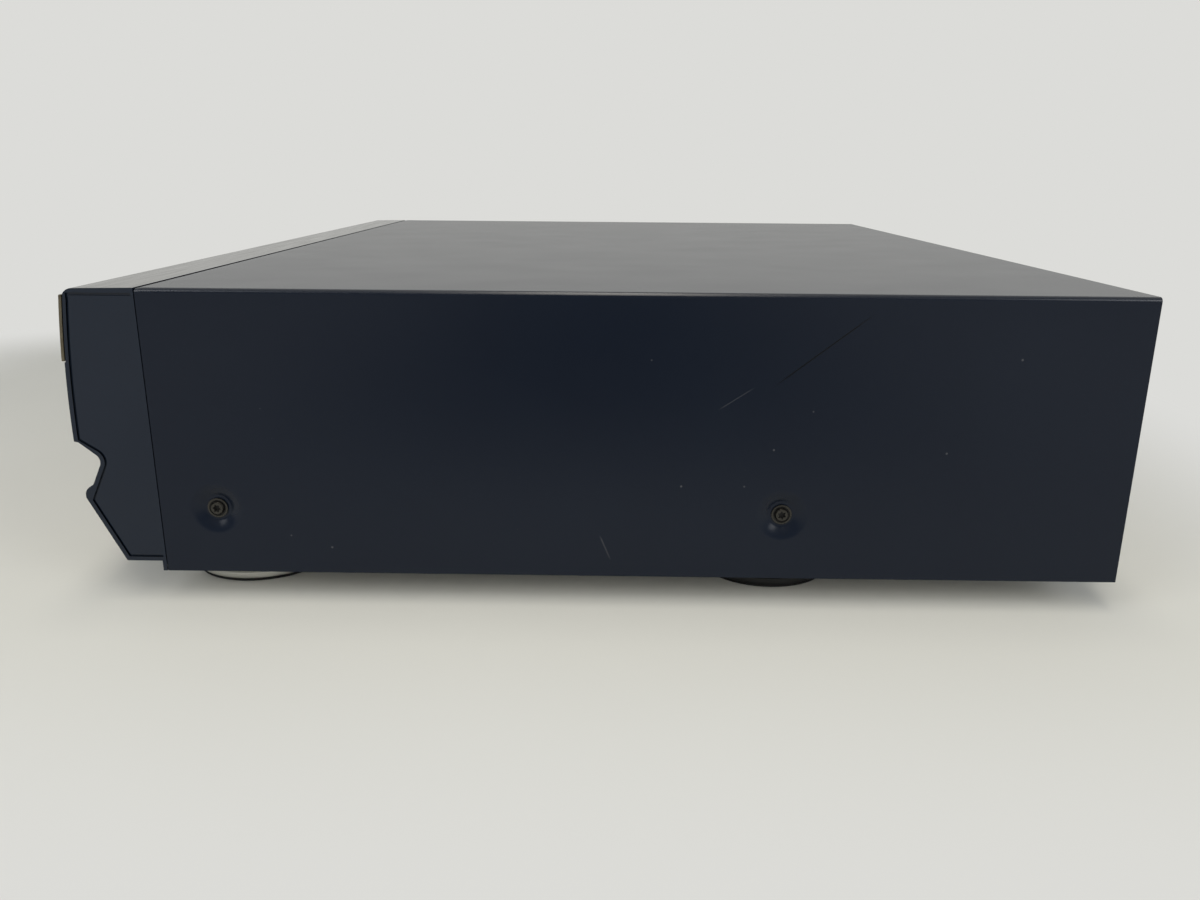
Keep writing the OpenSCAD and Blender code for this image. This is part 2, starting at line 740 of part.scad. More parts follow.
// The moulded fascia: end profile, drawer mouth, window, key holes and end cheeks
module front_fascia() color(plastic) placed() {
  boss_r = 3;
  ahead = -2 * fascia_d;
  seat_low = strip_low - clear;
  seat_high = strip_top + clear;
  hole_d = -ahead - fascia_wall - cut;
  difference() {
    along_x(body_w) polygon(outline);
    along_x(body_w - 2 * fascia_wall) polygon(cavity);
    along_x(body_w + 2 * cut) polygon(concat(front_line(seat_low, seat_high, strip_seat),
      [[ahead, seat_high], [ahead, seat_low]]));
    block([-mouth_half, ahead, mouth_low], [mouth_half, cut - seam_gap, mouth_high]);
    for (k = keys) key_cut(k, key_fit, ahead, hole_d);
    key_cut(window_key, key_fit, ahead, hole_d);
    translate([jack_x, ahead, band_z]) rod_along_y(jack_bush_r + key_fit, hole_d);
    translate([knob_x, ahead, band_z]) rod_along_y(pot_r + 2 * key_fit, hole_d);
    both_sides() translate([half_w, 0, 0]) intersection() {
      along_x(2 * cheek_groove_d) difference() {
        polygon(inset(cheek, cheek_rim));
        polygon(inset(cheek, cheek_rim + cheek_groove_w));
      }
      block([-fascia_wall, ahead, 0], [fascia_wall, -cheek_stop, cover_h]);
    }
  }
  for (x = boss_x) translate([x, fascia_wall / 2 - fascia_d, band_z])
    rod_along_y(boss_r, board_y + fascia_d - fascia_wall / 2);
}
module display_window() color(glass) placed() {
  proud = 0.1;
  flange_t = 1.6;
  front = front_y(strip_low) - proud;
  key_cut(window_key, 0, front, key_flange_y - front + cut);
  key_cut(window_key, key_flange, key_flange_y - proud, flange_t);
}
module display_module() color(glass) placed() {
  side = 10;
  tall = 3;
  thick = 6;
  key_cut([window_x, band_z, window_w - side, window_h - tall], 0, board_y - thick, thick);
}
// Front board with a tact switch behind each key and the level control
module front_board() color(green) placed() difference() {
  half = half_w - 4.5;
  half_h = 11.6;
  switch = 6;
  switch_d = 4.5;
  plunger_r = 1.6;
  pot_front = 1.5 - fascia_d - knob_len;
  union() {
    block([-half, board_y, band_z - half_h], [half, board_y + board_t, band_z + half_h]);
    for (k = keys) {
      key_cut([k[0], k[1], switch, switch], 0, board_y - switch_d, switch_d);
      translate([k[0], plunger_y, k[1]]) rod_along_y(plunger_r, board_y - plunger_y);
    }
    key_cut([knob_x, band_z, pot_body, pot_body], 0, board_y - pot_d, pot_d);
    translate([knob_x, pot_front, band_z]) rod_along_y(pot_r, board_y - pot_front);
  }
  key_cut([jack_x, band_z, jack_body, jack_body], clear, board_y - cut, board_t + 2 * cut);
}
// One push key: cap, retaining flange and tail
module key(k) {
  placed() color(grey) {
    key_cut(k, 0, -fascia_d - key_proud, fascia_d + key_proud + key_flange_y + cut);
    key_cut(k, key_flange, key_flange_y, key_flange);
    key_cut([k[0], k[1], key_tail, key_tail], 0, key_flange_y, key_tail_y - key_flange_y);
  }
}
module power_button() key(power_key);
module open_close_button() key(open_key);
module disc_skip_button() key(skip_disc_key);
module disc_button_1() key(disc_key(1));
module disc_button_2() key(disc_key(2));
module disc_button_3() key(disc_key(3));
module disc_button_4() key(disc_key(4));
module disc_button_5() key(disc_key(5));
module play_button() key(play_key);
module pause_button() key(pause_key);
module stop_button() key(stop_key);
module skip_back_button() key(back_key);
module skip_forward_button() key(forward_key);
module level_knob() color(grey) placed() translate([knob_x, -front_most, band_z]) difference() {
  edge = 0.8;
  taper = 0.3;
  face_t = 1.3;
  mark_w = 1.2;
  mark_d = 0.5;
  rotate([-90, 0, 0]) rotate_extrude() polygon([[0, 0], [knob_r - edge - taper, 0], [knob_r - taper, edge],
    [knob_r, knob_len], [0, knob_len]]);
  translate([0, face_t, 0]) rod_along_y(pot_r + run_fit, knob_len);
  block([-mark_w / 2, -cut, knob_r / 3], [mark_w / 2, mark_d, knob_r]);
}
module headphone_jack() color(black) placed() translate([jack_x, 0, band_z]) difference() {
  flange_r = 6.6;
  flange_t = 0.6;
  front = -fascia_d - 0.8;
  back_t = 2;
  union() {
    translate([0, front, 0]) rod_along_y(flange_r, flange_t);
    translate([0, front, 0]) rod_along_y(jack_bush_r, key_flange_y - front + cut);
    block([-jack_body / 2, key_flange_y, -jack_body / 2],
      [jack_body / 2, front + jack_bore_len + back_t, jack_body / 2]);
  }
  translate([0, front - cut, 0]) rod_along_y(jack_r, jack_bore_len + cut);
}

// The full-width drawer strip and the tray behind it
module drawer_front() color(bronze) placed() along_x(body_w) polygon(concat(
  front_line(strip_low, strip_top, strip_seat - strip_gap),
  [for (i = [front_steps:-1:0]) let (z = strip_low + (strip_top - strip_low) * i / front_steps)
    [front_y(z) - strip_proud, z]]));
module drawer_tray() color(moulded) placed() {
  wall_low = tray_low - 0.6;
  wall_high = strip_top - 1.5;
  wall_top = platter_top - 1;
  side_end = platter_y + 110;
  front_half = mouth_half - 1.5;
  bond = 0.05;
  post_high = platter_low - 0.6;
  motor_seat_r = motor_r - motor_ring;
  belt_way = drive_pulley_r + 3 * belt_t;
  rack_high = round(drawer_travel / (PI * tray_m)) + 4;
  difference() {
    union() {
      block([-lip_half, tray_wall_y - cut, tray_low], [rack_root_x, tray_rear, tray_top]);
      both_sides() block([tray_wall_in, tray_wall_y - cut, tray_low],
        [tray_wall_in + tray_wall_t, side_end, wall_top]);
      along_x(2 * front_half) polygon(concat(front_line(wall_low, wall_high, strip_seat - strip_gap + bond),
        [[tray_wall_y, wall_high], [tray_wall_y, wall_low]]));
      translate([rack_pitch_x, pinion_y, tray_low]) linear_extrude(tray_t)
        polygon(rack_points(-rack_back, -5, rack_high, tray_m, tray_play));
      translate([0, platter_y, tray_low])
        cylinder(r = pivot_boss_r, h = platter_gear_z - runner_gap - tray_low);
      translate([table_motor[0], table_motor[1], tray_low])
        cylinder(r = motor_r + motor_ring, h = table_motor_z + table_motor_h / 2 - tray_low);
    }
    block([-tray_open_half, tray_open_y, tray_low - cut], [tray_open_half, tray_rear + cut, tray_top + cut]);
    translate([0, platter_y, tray_low - cut]) cylinder(r = pivot_r, h = 2 * drive_gap);
    translate([table_motor[0], table_motor[1], table_motor_z])
      cylinder(r = motor_r + screw_fit, h = table_motor_h);
    translate([table_motor[0], table_motor[1], tray_top]) cylinder(r = motor_seat_r, h = table_motor_h);
    translate([0, 0, tray_top]) linear_extrude(table_motor_z - tray_top)
      polygon(belt_points(table_motor, motor_seat_r, drive_at, belt_way));
  }
  translate([drive_at[0], drive_at[1], tray_low]) cylinder(r = axle_r, h = post_high - tray_low);
}
module at_wells() {
  for (i = [0:4]) translate([0, platter_y, 0]) rotate(72 * i) translate([0, ring_r, 0]) children();
}
// The five-well carousel with its hub and drive gear in one moulding
module carousel() color(moulded) placed() difference() {
  union() {
    translate([0, platter_y, platter_low]) cylinder(r = platter_r, h = platter_t);
    translate([0, platter_y, platter_gear_z]) cylinder(r = hub_r, h = hub_top - platter_gear_z);
    translate([0, platter_y, platter_gear_z]) difference() {
      gear(platter_teeth, tray_m, tray_play, platter_low - platter_gear_z + cut, table_bearing);
      translate([0, 0, -cut]) cylinder(r = platter_gear_r - platter_gear_wall, h = drive_gap);
    }
  }
  at_wells() translate([0, 0, well_floor]) cylinder(r = well_r, h = platter_t);
  at_wells() translate([0, 0, platter_low - cut]) cylinder(r = slot_half, h = 2 * platter_t);
  at_wells() block([-slot_half, 0, platter_low - cut], [slot_half, platter_r, platter_top + cut]);
  translate([0, platter_y, platter_low - drive_gap]) cylinder(r = pivot_r + run_fit, h = 3 * drive_gap);
}
// Shaft and cap that hold the carousel down
module carousel_cap() color(steel) placed() translate([0, platter_y, 0]) {
  cap_z = hub_top + runner_gap;
  translate([0, 0, tray_low]) cylinder(r = pivot_r, h = cap_z - tray_low + cut);
  translate([0, 0, cap_z]) cylinder(r1 = cap_r, r2 = cap_r - 1, h = cap_t);
}
module carousel_motor() color(zinc) placed()
  translate([table_motor[0], table_motor[1], table_motor_z + table_motor_h])
    mirror([0, 0, 1]) can_motor(motor_r, table_motor_h);
module carousel_motor_pulley() color(brass) placed()
  translate([table_motor[0], table_motor[1], drive_pulley_z]) {
    cylinder(r = motor_pulley_r, h = drive_pulley_h);
    cylinder(r = motor_shaft_r, h = table_motor_z - drive_pulley_z + shaft_in);
  }
module carousel_belt() color(black) placed()
  translate([0, 0, drive_pulley_z + (drive_pulley_h - belt_h) / 2]) linear_extrude(belt_h)
    belt_loop(table_motor, motor_pulley_r, drive_at, drive_pulley_r);
module carousel_pulley_gear() color(white) placed()
  translate([drive_at[0], drive_at[1], drive_pulley_z]) difference() {
    pinion_h = platter_low - 1 - drive_pulley_z;
    union() {
      cylinder(r = drive_pulley_r, h = drive_pulley_h);
      gear(drive_teeth, tray_m, tray_play, pinion_h, table_bearing + 180 + 180 / drive_teeth);
    }
    translate([0, 0, -cut]) cylinder(r = axle_r + run_fit, h = 2 * drive_gap);
  }

// Upright slot in the base that the tip of the lifting peg moves in
module peg_way() {
  half = peg_r + 1.2;
  block([-half, cam_y - guide_gap - guide_t - cut, channel_z], [half, cam_y, deck_top + cut]);
}
// Mechanism base: deck on legs, drawer runners, pick-up ears and the cam slider's channel
module mech_base() color(moulded) placed() {
  ledge_in = tray_wall_in + tray_wall_t + 4;
  flange_in = tray_wall_in + tray_wall_t + 6;
  ledge_t = 3;
  ledge_top = tray_low - runner_gap;
  flange_t = 2;
  rail_top = runner_top + flange_t;
  ear_d = 6;
  ear_h = 5;
  guide_x = [-40, 82];
  guide_front = cam_y - guide_gap;
  guide_rear = cam_rear + 3;
  lip_end = 22;
  lip_h = 2;
  hole_r = 60;
  hole_y = platter_y - 45;
  plate_half = 15;
  plate_rear = lift_y + 14;
  channel_low = channel_z - guide_t;
  cam_way = cam_travel + 20;
  axles = [[pinion_y, pinion_high + 1], [pulley_y, pulley_z + pulley_h + clear]];
  difference() {
    union() {
      block([-deck_half, deck_front, deck_low], [deck_half, deck_rear, deck_top]);
      both_sides() {
        block([wall_in, deck_front, deck_low], [wall_in + runner_wall, tray_rear, rail_top]);
        block([ledge_in, deck_front, ledge_top - ledge_t], [wall_in + cut, tray_rear, ledge_top]);
        block([flange_in, deck_front, runner_top], [wall_in + cut, tray_rear, rail_top]);
        block([ear_in, hinge_y - ear_d, deck_low], [ear_out, deck_rear, hinge_z + ear_h]);
      }
      for (p = deck_legs) translate([p[0], p[1], floor_top]) cylinder(r = leg_r, h = deck_top - floor_top);
    }
    block([-opening_half, guide_front, deck_low - cut], [opening_half, opening_rear, deck_top + cut]);
    block([-cam_way, guide_front, deck_low - cut], [cam_way, frame_front + 4, deck_top + cut]);
    translate([0, hole_y, deck_low - cut]) cylinder(r = hole_r, h = 2 * deck_t);
    block([rack_root_x - loose, notch_front, deck_top], [deck_half + cut, notch_rear, rail_top + cut]);
    translate([-ear_out - cut, hinge_y, hinge_z]) rod_along_x(peg_r, 2 * (ear_out + cut));
    translate([pinion_x, drawer_motor_y, deck_low - cut]) cylinder(r = boss_hole_r, h = 2 * deck_t);
    peg_way();
  }
  for (p = axles) translate([pinion_x, p[0], deck_low]) cylinder(r = axle_r, h = p[1] - deck_low);
  difference() {
    union() {
      block([guide_x[0], guide_front - guide_t, channel_low], [guide_x[1], guide_front, deck_low + cut]);
      block([guide_x[0], guide_front - cut, channel_low], [guide_x[1], guide_rear, channel_z]);
      block([guide_x[0], cam_rear + guide_gap, channel_z - cut], [lip_end, guide_rear, channel_z + lip_h]);
      block([lift_x - plate_half, cam_y, channel_low], [lift_x + plate_half, plate_rear, channel_z]);
    }
    translate([lift_x, lift_y, channel_low - cut]) cylinder(r = boss_hole_r, h = 2 * guide_t);
    peg_way();
  }
}
module drawer_motor() color(zinc) placed()
  translate([pinion_x, drawer_motor_y, deck_low - drawer_motor_h]) can_motor(motor_r, drawer_motor_h);
module drawer_motor_pulley() color(brass) placed() translate([pinion_x, drawer_motor_y, 0]) {
  shaft_low = deck_low - shaft_in;
  translate([0, 0, pulley_z]) pulley(motor_pulley_r, pulley_h);
  translate([0, 0, shaft_low]) cylinder(r = motor_shaft_r, h = pulley_z - shaft_low + cut);
}
module drawer_belt() color(black) placed()
  translate([pinion_x, 0, pulley_z + (pulley_h - belt_h) / 2]) linear_extrude(belt_h)
    belt_loop([0, pulley_y], pulley_r, [0, drawer_motor_y], motor_pulley_r);
module drawer_pulley_gear() color(white) placed() translate([pinion_x, pulley_y, 0]) difference() {
  union() {
    translate([0, 0, spur_z])
      gear(small_teeth, fine_m, fine_play, pulley_z - spur_z + cut, 180 / small_teeth - 90);
    translate([0, 0, pulley_z]) pulley(pulley_r, pulley_h);
  }
  translate([0, 0, deck_top]) cylinder(r = axle_r + run_fit, h = 2 * deck_space);
}
module drawer_pinion_gear() color(white) placed() translate([pinion_x, pinion_y, 0]) difference() {
  union() {
    translate([0, 0, spur_z]) gear(spur_teeth, fine_m, fine_play, spur_h, 90);
    translate([0, 0, spur_z]) cylinder(r = spur_hub_r, h = pinion_high - spur_z);
    translate([0, 0, pinion_low])
      gear(pinion_teeth, tray_m, tray_play, pinion_high - pinion_low, 180 + 180 / pinion_teeth);
  }
  translate([0, 0, deck_top]) cylinder(r = axle_r + run_fit, h = 3 * deck_space);
}

// Bridge over the carousel and the clamper that floats in it
module clamp_bridge() color(zinc) placed() difference() {
  half = half_w - 15;
  half_d = 18;
  front = spindle_y - half_d;
  rear = spindle_y + half_d;
  foot = 6;
  high = bridge_z + bridge_t;
  union() {
    block([-half, front, bridge_z], [half, rear, high]);
    both_sides() {
      block([half - bridge_t, front, deck_top], [half, rear, high]);
      block([half - bridge_t, front, deck_top], [half + foot, rear, deck_top + bridge_t]);
    }
  }
  translate([0, spindle_y, bridge_z - cut]) cylinder(r = clamper_neck_r + loose, h = 3 * bridge_t);
}
module clamper() color(white) placed() translate([0, spindle_y, 0]) difference() {
  flange_r = 16;
  pad_r = 15;
  cup_r = 8.2;
  pad_low = platter_top + 0.6;
  flange_low = clamper_top - clamper_flange_t;
  union() {
    translate([0, 0, flange_low]) cylinder(r = flange_r, h = clamper_flange_t);
    translate([0, 0, pad_low]) cylinder(r = clamper_neck_r, h = flange_low - pad_low + cut);
    translate([0, 0, pad_low]) cylinder(r = pad_r, h = bridge_z - pad_low - 2 * loose);
  }
  translate([0, 0, pad_low - cut]) cylinder(r = cup_r, h = cone_h + 2 * cut);
}

// Pick-up unit, tilted about its hinge pin
module lowered() {
  placed() translate([0, hinge_y, hinge_z]) rotate([tilt, 0, 0])
    translate([0, -hinge_y, -hinge_z]) children();
}
module pickup_frame() color(black) lowered() {
  ear_w = 6;
  ear_r = 3.6;
  ear_x = frame_half - ear_w - 1;
  rail_top = rod_z + 2.6;
  rail_half = 3;
  apron = 6;
  apron_low = peg_z - 3.4;
  peg_front = cam_y - 1.6;
  spindle_hole_r = 6;
  sled_front = sled_y - 14;
  difference() {
    union() {
      block([-frame_half, frame_front, frame_low], [frame_half, rod_rear + 1, frame_top]);
      both_sides() {
        for (y = [rod_front, rod_rear - post_t])
          block([rod_x - rail_half, y, frame_low], [rod_x + rail_half, y + post_t, rail_top]);
        translate([ear_x, hinge_y, hinge_z]) rod_along_x(ear_r, ear_w);
        block([ear_x, rod_rear - post_t, frame_low], [ear_x + ear_w, hinge_y, hinge_z + ear_r]);
      }
      block([-apron, frame_front, apron_low], [apron, frame_front + post_t, frame_top]);
      translate([0, peg_front, peg_z]) rod_along_y(peg_r, frame_front - peg_front + cut);
      translate([sled_pinion_x, sled_pinion_y, sled_rack_z - 1])
        cylinder(r = rod_r, h = frame_top - sled_rack_z);
    }
    block([-open_half, sled_front, frame_low - cut], [open_half, rod_rear - post_t, frame_top + cut]);
    translate([0, spindle_y, frame_low - cut]) cylinder(r = spindle_hole_r, h = frame_t + 2 * cut);
    both_sides() translate([rod_x, rod_front - cut, rod_z])
      rod_along_y(rod_r, rod_rear - rod_front + 2 * cut);
    translate([-frame_half, hinge_y, hinge_z]) rod_along_x(peg_r + run_fit, 2 * frame_half);
  }
}
module pickup_pin() color(steel) placed()
  translate([-ear_out - 1, hinge_y, hinge_z]) rod_along_x(peg_r, 2 * ear_out + 2);
module spindle_motor() color(zinc) lowered()
  translate([0, spindle_y, frame_low - spindle_motor_h]) can_motor(motor_r - cut, spindle_motor_h);
module disc_table() color(black) lowered() translate([0, spindle_y, 0]) {
  plate_t = 2.5;
  sleeve_r = 4.5;
  sleeve_z = frame_top + 1;
  cone_r = 7.45;
  cone_taper = 0.6;
  shaft_low = frame_low - shaft_in + 1;
  translate([0, 0, disc_seat - plate_t]) cylinder(r = table_r, h = plate_t);
  translate([0, 0, disc_seat - cut]) cylinder(r1 = cone_r, r2 = cone_r - cone_taper, h = cone_h + cut);
  translate([0, 0, sleeve_z]) cylinder(r = sleeve_r, h = disc_seat - cut - sleeve_z);
  translate([0, 0, shaft_low]) cylinder(r = motor_shaft_r, h = sleeve_z + cut - shaft_low);
}
module sled_rods() color(steel) lowered() both_sides()
  translate([rod_x, rod_front, rod_z]) rod_along_y(rod_r, rod_rear - rod_front);
module optical_sled() color(zinc) lowered() difference() {
  lens_half = 9;
  lens_half_d = 6;
  leg_half_d = 9;
  leg_x = sled_rack_x + tooth_ded * fine_m;
  rack_low = -round((sled_travel + 5) / (PI * fine_m));
  union() {
    block([-sled_end, sled_y - sled_half, sled_low], [sled_end, sled_y + sled_half, sled_top]);
    block([-lens_half, sled_y - lens_half_d, rod_z], [lens_half, sled_y + lens_half_d, lens_top]);
    block([leg_x, sled_y - leg_half_d, sled_rack_z + sled_rack_h - cut],
      [sled_rack_x + sled_rack_back, sled_y + leg_half_d, rod_z]);
    translate([sled_rack_x, sled_pinion_y, sled_rack_z]) mirror([1, 0, 0]) linear_extrude(sled_rack_h)
      polygon(rack_points(-sled_rack_back, rack_low, 1, fine_m, fine_play));
  }
  both_sides() translate([rod_x, sled_y - sled_half - cut, rod_z])
    rod_along_y(rod_r + run_fit, 2 * (sled_half + cut));
}
module objective_lens() color(glass) lowered() translate([0, sled_y, lens_top]) {
  lens_r = 3.4;
  lens_h = 1.1;
  dome = 1.2;
  rim_w = 0.8;
  rim_h = 0.5;
  cylinder(r = lens_r + rim_w, h = rim_h);
  cylinder(r1 = lens_r, r2 = lens_r - dome, h = lens_h);
}
module sled_gear() color(white) lowered()
  translate([sled_pinion_x, sled_pinion_y, sled_rack_z]) difference() {
    gear(small_teeth, fine_m, fine_play, sled_rack_h, 180 / small_teeth);
    translate([0, 0, -cut]) cylinder(r = rod_r + run_fit, h = sled_rack_h + 2 * cut);
  }

// Cam slider that lifts the unit by its peg, with its motor and pinion
module cam_slider() color(white) placed() {
  plate_end = 12;
  plate_x = -cam_travel - plate_end;
  plate_top = peg_z + slot_half_h + 3.6;
  bar_half = 76;
  rise = (peg_z - peg_rest_z) / cam_travel;
  reach = slot_half_h / cos(atan(rise));
  over = 3;
  low_z = peg_rest_z - rise * over;
  high_z = peg_z + rise * over;
  rack_high = round((cam_travel + 6) / (PI * fine_m));
  translate([0, cam_y, 0]) along_y(cam_t) difference() {
    union() {
      translate([plate_x, bar_low]) square([plate_end - plate_x, plate_top - bar_low]);
      translate([-bar_half, bar_low]) square([2 * bar_half, bar_high - bar_low]);
    }
    polygon([[over, low_z - reach], [over, low_z + reach], [-cam_travel - over, high_z + reach],
      [-cam_travel - over, high_z - reach]]);
  }
  translate([lift_x, lift_rack_y, lift_rack_z]) rotate(90) linear_extrude(lift_rack_h)
    polygon(rack_points(cam_rear - lift_rack_y - cut, -3, rack_high, fine_m, fine_play));
}
module lift_motor() color(zinc) placed()
  translate([lift_x, lift_y, channel_z - guide_t - lift_motor_h]) can_motor(motor_r, lift_motor_h);
module lift_pinion() color(brass) placed() translate([lift_x, lift_y, 0]) {
  shaft_low = channel_z - guide_t - shaft_in;
  translate([0, 0, lift_rack_z]) gear(small_teeth, fine_m, fine_play, lift_rack_h, 180 / small_teeth - 90);
  translate([0, 0, shaft_low]) cylinder(r = motor_shaft_r, h = lift_rack_z - shaft_low + cut);
}

// Boards, their parts, the power supply and the rear connectors
module circuit_boards() color(green) placed() for (b = [signal_board, power_board])
  block([b[0][0], b[0][1], board_z], [b[1][0], b[1][1], board_top]);
module board_parts() color(black) placed() translate([0, 0, board_top]) {
  chip = [22, 22, 3];
  chip_from = [signal_board[0][0] + 7, signal_board[0][1] + 30];
  chip_step = [33, 42];
  can_r = 9;
  can_h = 32;
  can_at = [power_board[0][0] + 25, power_board[0][1] + 20];
  can_step = 26;
  fin = [2, 40, 36];
  fin_at = [power_board[0][0] + 20, power_board[0][1] + 50];
  fin_step = 5;
  spine = [22, 3, 36];
  spine_y = 18;
  for (i = [0:2]) for (k = [0:2])
    translate([chip_from[0] + chip_step[0] * i, chip_from[1] + chip_step[1] * k, 0]) cube(chip);
  for (i = [0:2]) translate([can_at[0] + can_step * i, can_at[1], 0]) cylinder(r = can_r, h = can_h);
  for (i = [0:4]) translate([fin_at[0] + fin_step * i, fin_at[1], 0]) cube(fin);
  translate([fin_at[0], fin_at[1] + spine_y, 0]) cube(spine);
}
module transformer() color(copper) placed() translate([transformer_at[0], transformer_at[1], floor_top]) {
  core = [64, 40, 50];
  coil = [44, 58, 32];
  coil_z = 9;
  translate([-core[0] / 2, -core[1] / 2, 0]) cube(core);
  translate([-coil[0] / 2, -coil[1] / 2, coil_z]) cube(coil);
}
module phono_jacks() color(black) placed() {
  block_half = 9;
  block_d = 12;
  pin_hole_r = 1.7;
  pin_hole_len = 8;
  difference() {
    union() {
      block([phono_x[0] - block_half, panel_y - block_d, board_top],
        [phono_x[1] + block_half, panel_y, phono_z + block_half]);
      for (x = phono_x) translate([x, panel_y - cut, phono_z]) {
        rod_along_y(phono_base_r, sheet_t + cut);
        rod_along_y(phono_r, rear_most - panel_y + cut);
      }
    }
    for (x = phono_x) translate([x, rear_most - pin_hole_len, phono_z])
      rod_along_y(pin_hole_r, pin_hole_len + cut);
  }
}
module mains_inlet() color(black) placed() translate([inlet_x, panel_y, inlet_z]) {
  wall = 1.8;
  depth = 14;
  rim = 3;
  rim_t = 2;
  pin_r = 1.2;
  pin_x = 4.3;
  pin_len = 9;
  shell = [inlet_half_w - clear, inlet_half_h - clear];
  socket = [inlet_half_w - wall, inlet_half_h - wall];
  lip = [inlet_half_w + rim, inlet_half_h + rim];
  difference() {
    union() {
      block([-shell[0], -depth, -shell[1]], [shell[0], sheet_t + cut, shell[1]]);
      block([-lip[0], sheet_t, -lip[1]], [lip[0], sheet_t + rim_t, lip[1]]);
    }
    block([-socket[0], wall - depth, -socket[1]], [socket[0], sheet_t + rim_t + cut, socket[1]]);
  }
  for (side = [-1, 1]) translate([side * pin_x, wall - depth - cut, 0]) rod_along_y(pin_r, pin_len);
}

bottom_chassis();
rear_panel();
top_cover();
cover_side_screws();
rear_screws();
front_fascia();
display_window();
display_module();
front_board();
front_feet();
rear_feet();
foot_pads();
foot_screws();
power_button();
open_close_button();
disc_skip_button();
disc_button_1();
disc_button_2();
disc_button_3();
disc_button_4();
disc_button_5();
play_button();
pause_button();
stop_button();
skip_back_button();
skip_forward_button();
level_knob();
headphone_jack();
drawer_front();
drawer_tray();
carousel();
carousel_cap();
carousel_motor();
carousel_motor_pulley();
carousel_belt();
carousel_pulley_gear();
mech_base();
drawer_motor();
drawer_motor_pulley();
drawer_belt();
drawer_pulley_gear();
drawer_pinion_gear();
clamp_bridge();
clamper();
pickup_frame();
pickup_pin();
spindle_motor();
disc_table();
sled_rods();
optical_sled();
objective_lens();
sled_gear();
cam_slider();
lift_motor();
lift_pinion();
circuit_boards();
board_parts();
transformer();
phono_jacks();
mains_inlet();
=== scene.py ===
# %% [markdown]
# Carousel disc changer.
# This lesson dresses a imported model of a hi-fi disc changer: a wide flat box with a folded steel
# cover, a moulded front, a full-width drawer and four round feet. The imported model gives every
# piece its place and size in metres, so nothing here has to be fitted by eye.

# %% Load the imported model
import json
import math

import bpy
from mathutils import Matrix, Vector

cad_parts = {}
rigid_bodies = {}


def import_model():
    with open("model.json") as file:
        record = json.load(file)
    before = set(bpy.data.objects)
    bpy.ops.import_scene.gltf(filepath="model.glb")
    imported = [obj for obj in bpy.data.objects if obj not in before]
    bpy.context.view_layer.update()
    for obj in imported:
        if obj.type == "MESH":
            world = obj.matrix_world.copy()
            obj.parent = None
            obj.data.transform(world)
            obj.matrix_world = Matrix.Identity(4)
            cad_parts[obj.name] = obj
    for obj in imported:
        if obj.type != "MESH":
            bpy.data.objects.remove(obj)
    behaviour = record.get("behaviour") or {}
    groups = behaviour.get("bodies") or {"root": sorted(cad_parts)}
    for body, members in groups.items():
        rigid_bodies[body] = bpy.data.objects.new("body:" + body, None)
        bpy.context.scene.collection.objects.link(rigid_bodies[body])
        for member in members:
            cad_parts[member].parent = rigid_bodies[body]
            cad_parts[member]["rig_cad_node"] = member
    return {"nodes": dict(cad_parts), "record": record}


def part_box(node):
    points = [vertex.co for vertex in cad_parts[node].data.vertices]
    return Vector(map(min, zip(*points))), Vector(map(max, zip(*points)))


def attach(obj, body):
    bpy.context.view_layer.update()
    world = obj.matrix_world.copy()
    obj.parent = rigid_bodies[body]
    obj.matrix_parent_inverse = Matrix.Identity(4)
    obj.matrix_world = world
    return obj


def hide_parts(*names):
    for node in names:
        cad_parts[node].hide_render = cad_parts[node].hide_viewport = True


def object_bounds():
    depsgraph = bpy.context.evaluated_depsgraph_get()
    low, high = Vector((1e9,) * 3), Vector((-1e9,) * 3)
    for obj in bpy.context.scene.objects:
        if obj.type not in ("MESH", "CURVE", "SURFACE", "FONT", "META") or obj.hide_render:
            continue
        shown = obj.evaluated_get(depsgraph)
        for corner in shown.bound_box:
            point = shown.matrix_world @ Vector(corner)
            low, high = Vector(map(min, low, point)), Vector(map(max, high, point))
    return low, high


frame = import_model()
cad_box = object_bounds()
nodes = frame["nodes"]
bodies = frame["record"]["behaviour"]["bodies"]
body_of = {node: body for body, names in bodies.items() for node in names}
print("nodes", len(nodes), "box", [round(v, 4) for v in (*cad_box[0], *cad_box[1])])

# %% [markdown]
# Places on the cabinet.
# A maker counts in millimetres: along the width from the middle, back from the seam between cover
# and front, and up from the cover's lower edge. Blender counts in metres. The numbers could all be
# turned by hand, but one function does it safely, and each number stays as a ruler shows it.

# %% Spots in millimetres
HALF_W = 220.0
COVER_D = 342.0
COVER_H = 102.0
SHEET = 1.0
FOLD_R = 1.6
FEET_H = 12.0
cover_low, cover_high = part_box("top_cover")
SEAM_Y = cover_low.y * 1000


def spot(x, y, z):
    return Vector((x, y + SEAM_Y, z + FEET_H)) / 1000


print("seam at", round(SEAM_Y, 2), "mm; cover top at", round(cover_high.z * 1000, 2), "mm")

# %% [markdown]
# Colours and nodes.
# Screen colours are written as hex codes, and the shader needs linear light, so one function
# converts them. Nodes could be wired by hand in the editor. Here a second small function adds a
# node with its settings, values and links, which keeps each finish down to a few readable lines.

# %% Helpers for finishes
def linear(code):
    parts = [int(code[i:i + 2], 16) / 255 for i in (1, 3, 5)]
    # the standard curve between screen values and light
    light = [c / 12.92 if c <= 0.04045 else ((c + 0.055) / 1.055) ** 2.4 for c in parts]
    return (*light, 1.0)


def add(tree, kind, values=None, links=None, **settings):
    node = tree.nodes.new(kind)
    for key, value in settings.items():
        setattr(node, key, value)
    for key, value in (values or {}).items():
        node.inputs[key].default_value = value
    for key, socket in (links or {}).items():
        tree.links.new(socket, node.inputs[key])
    return node


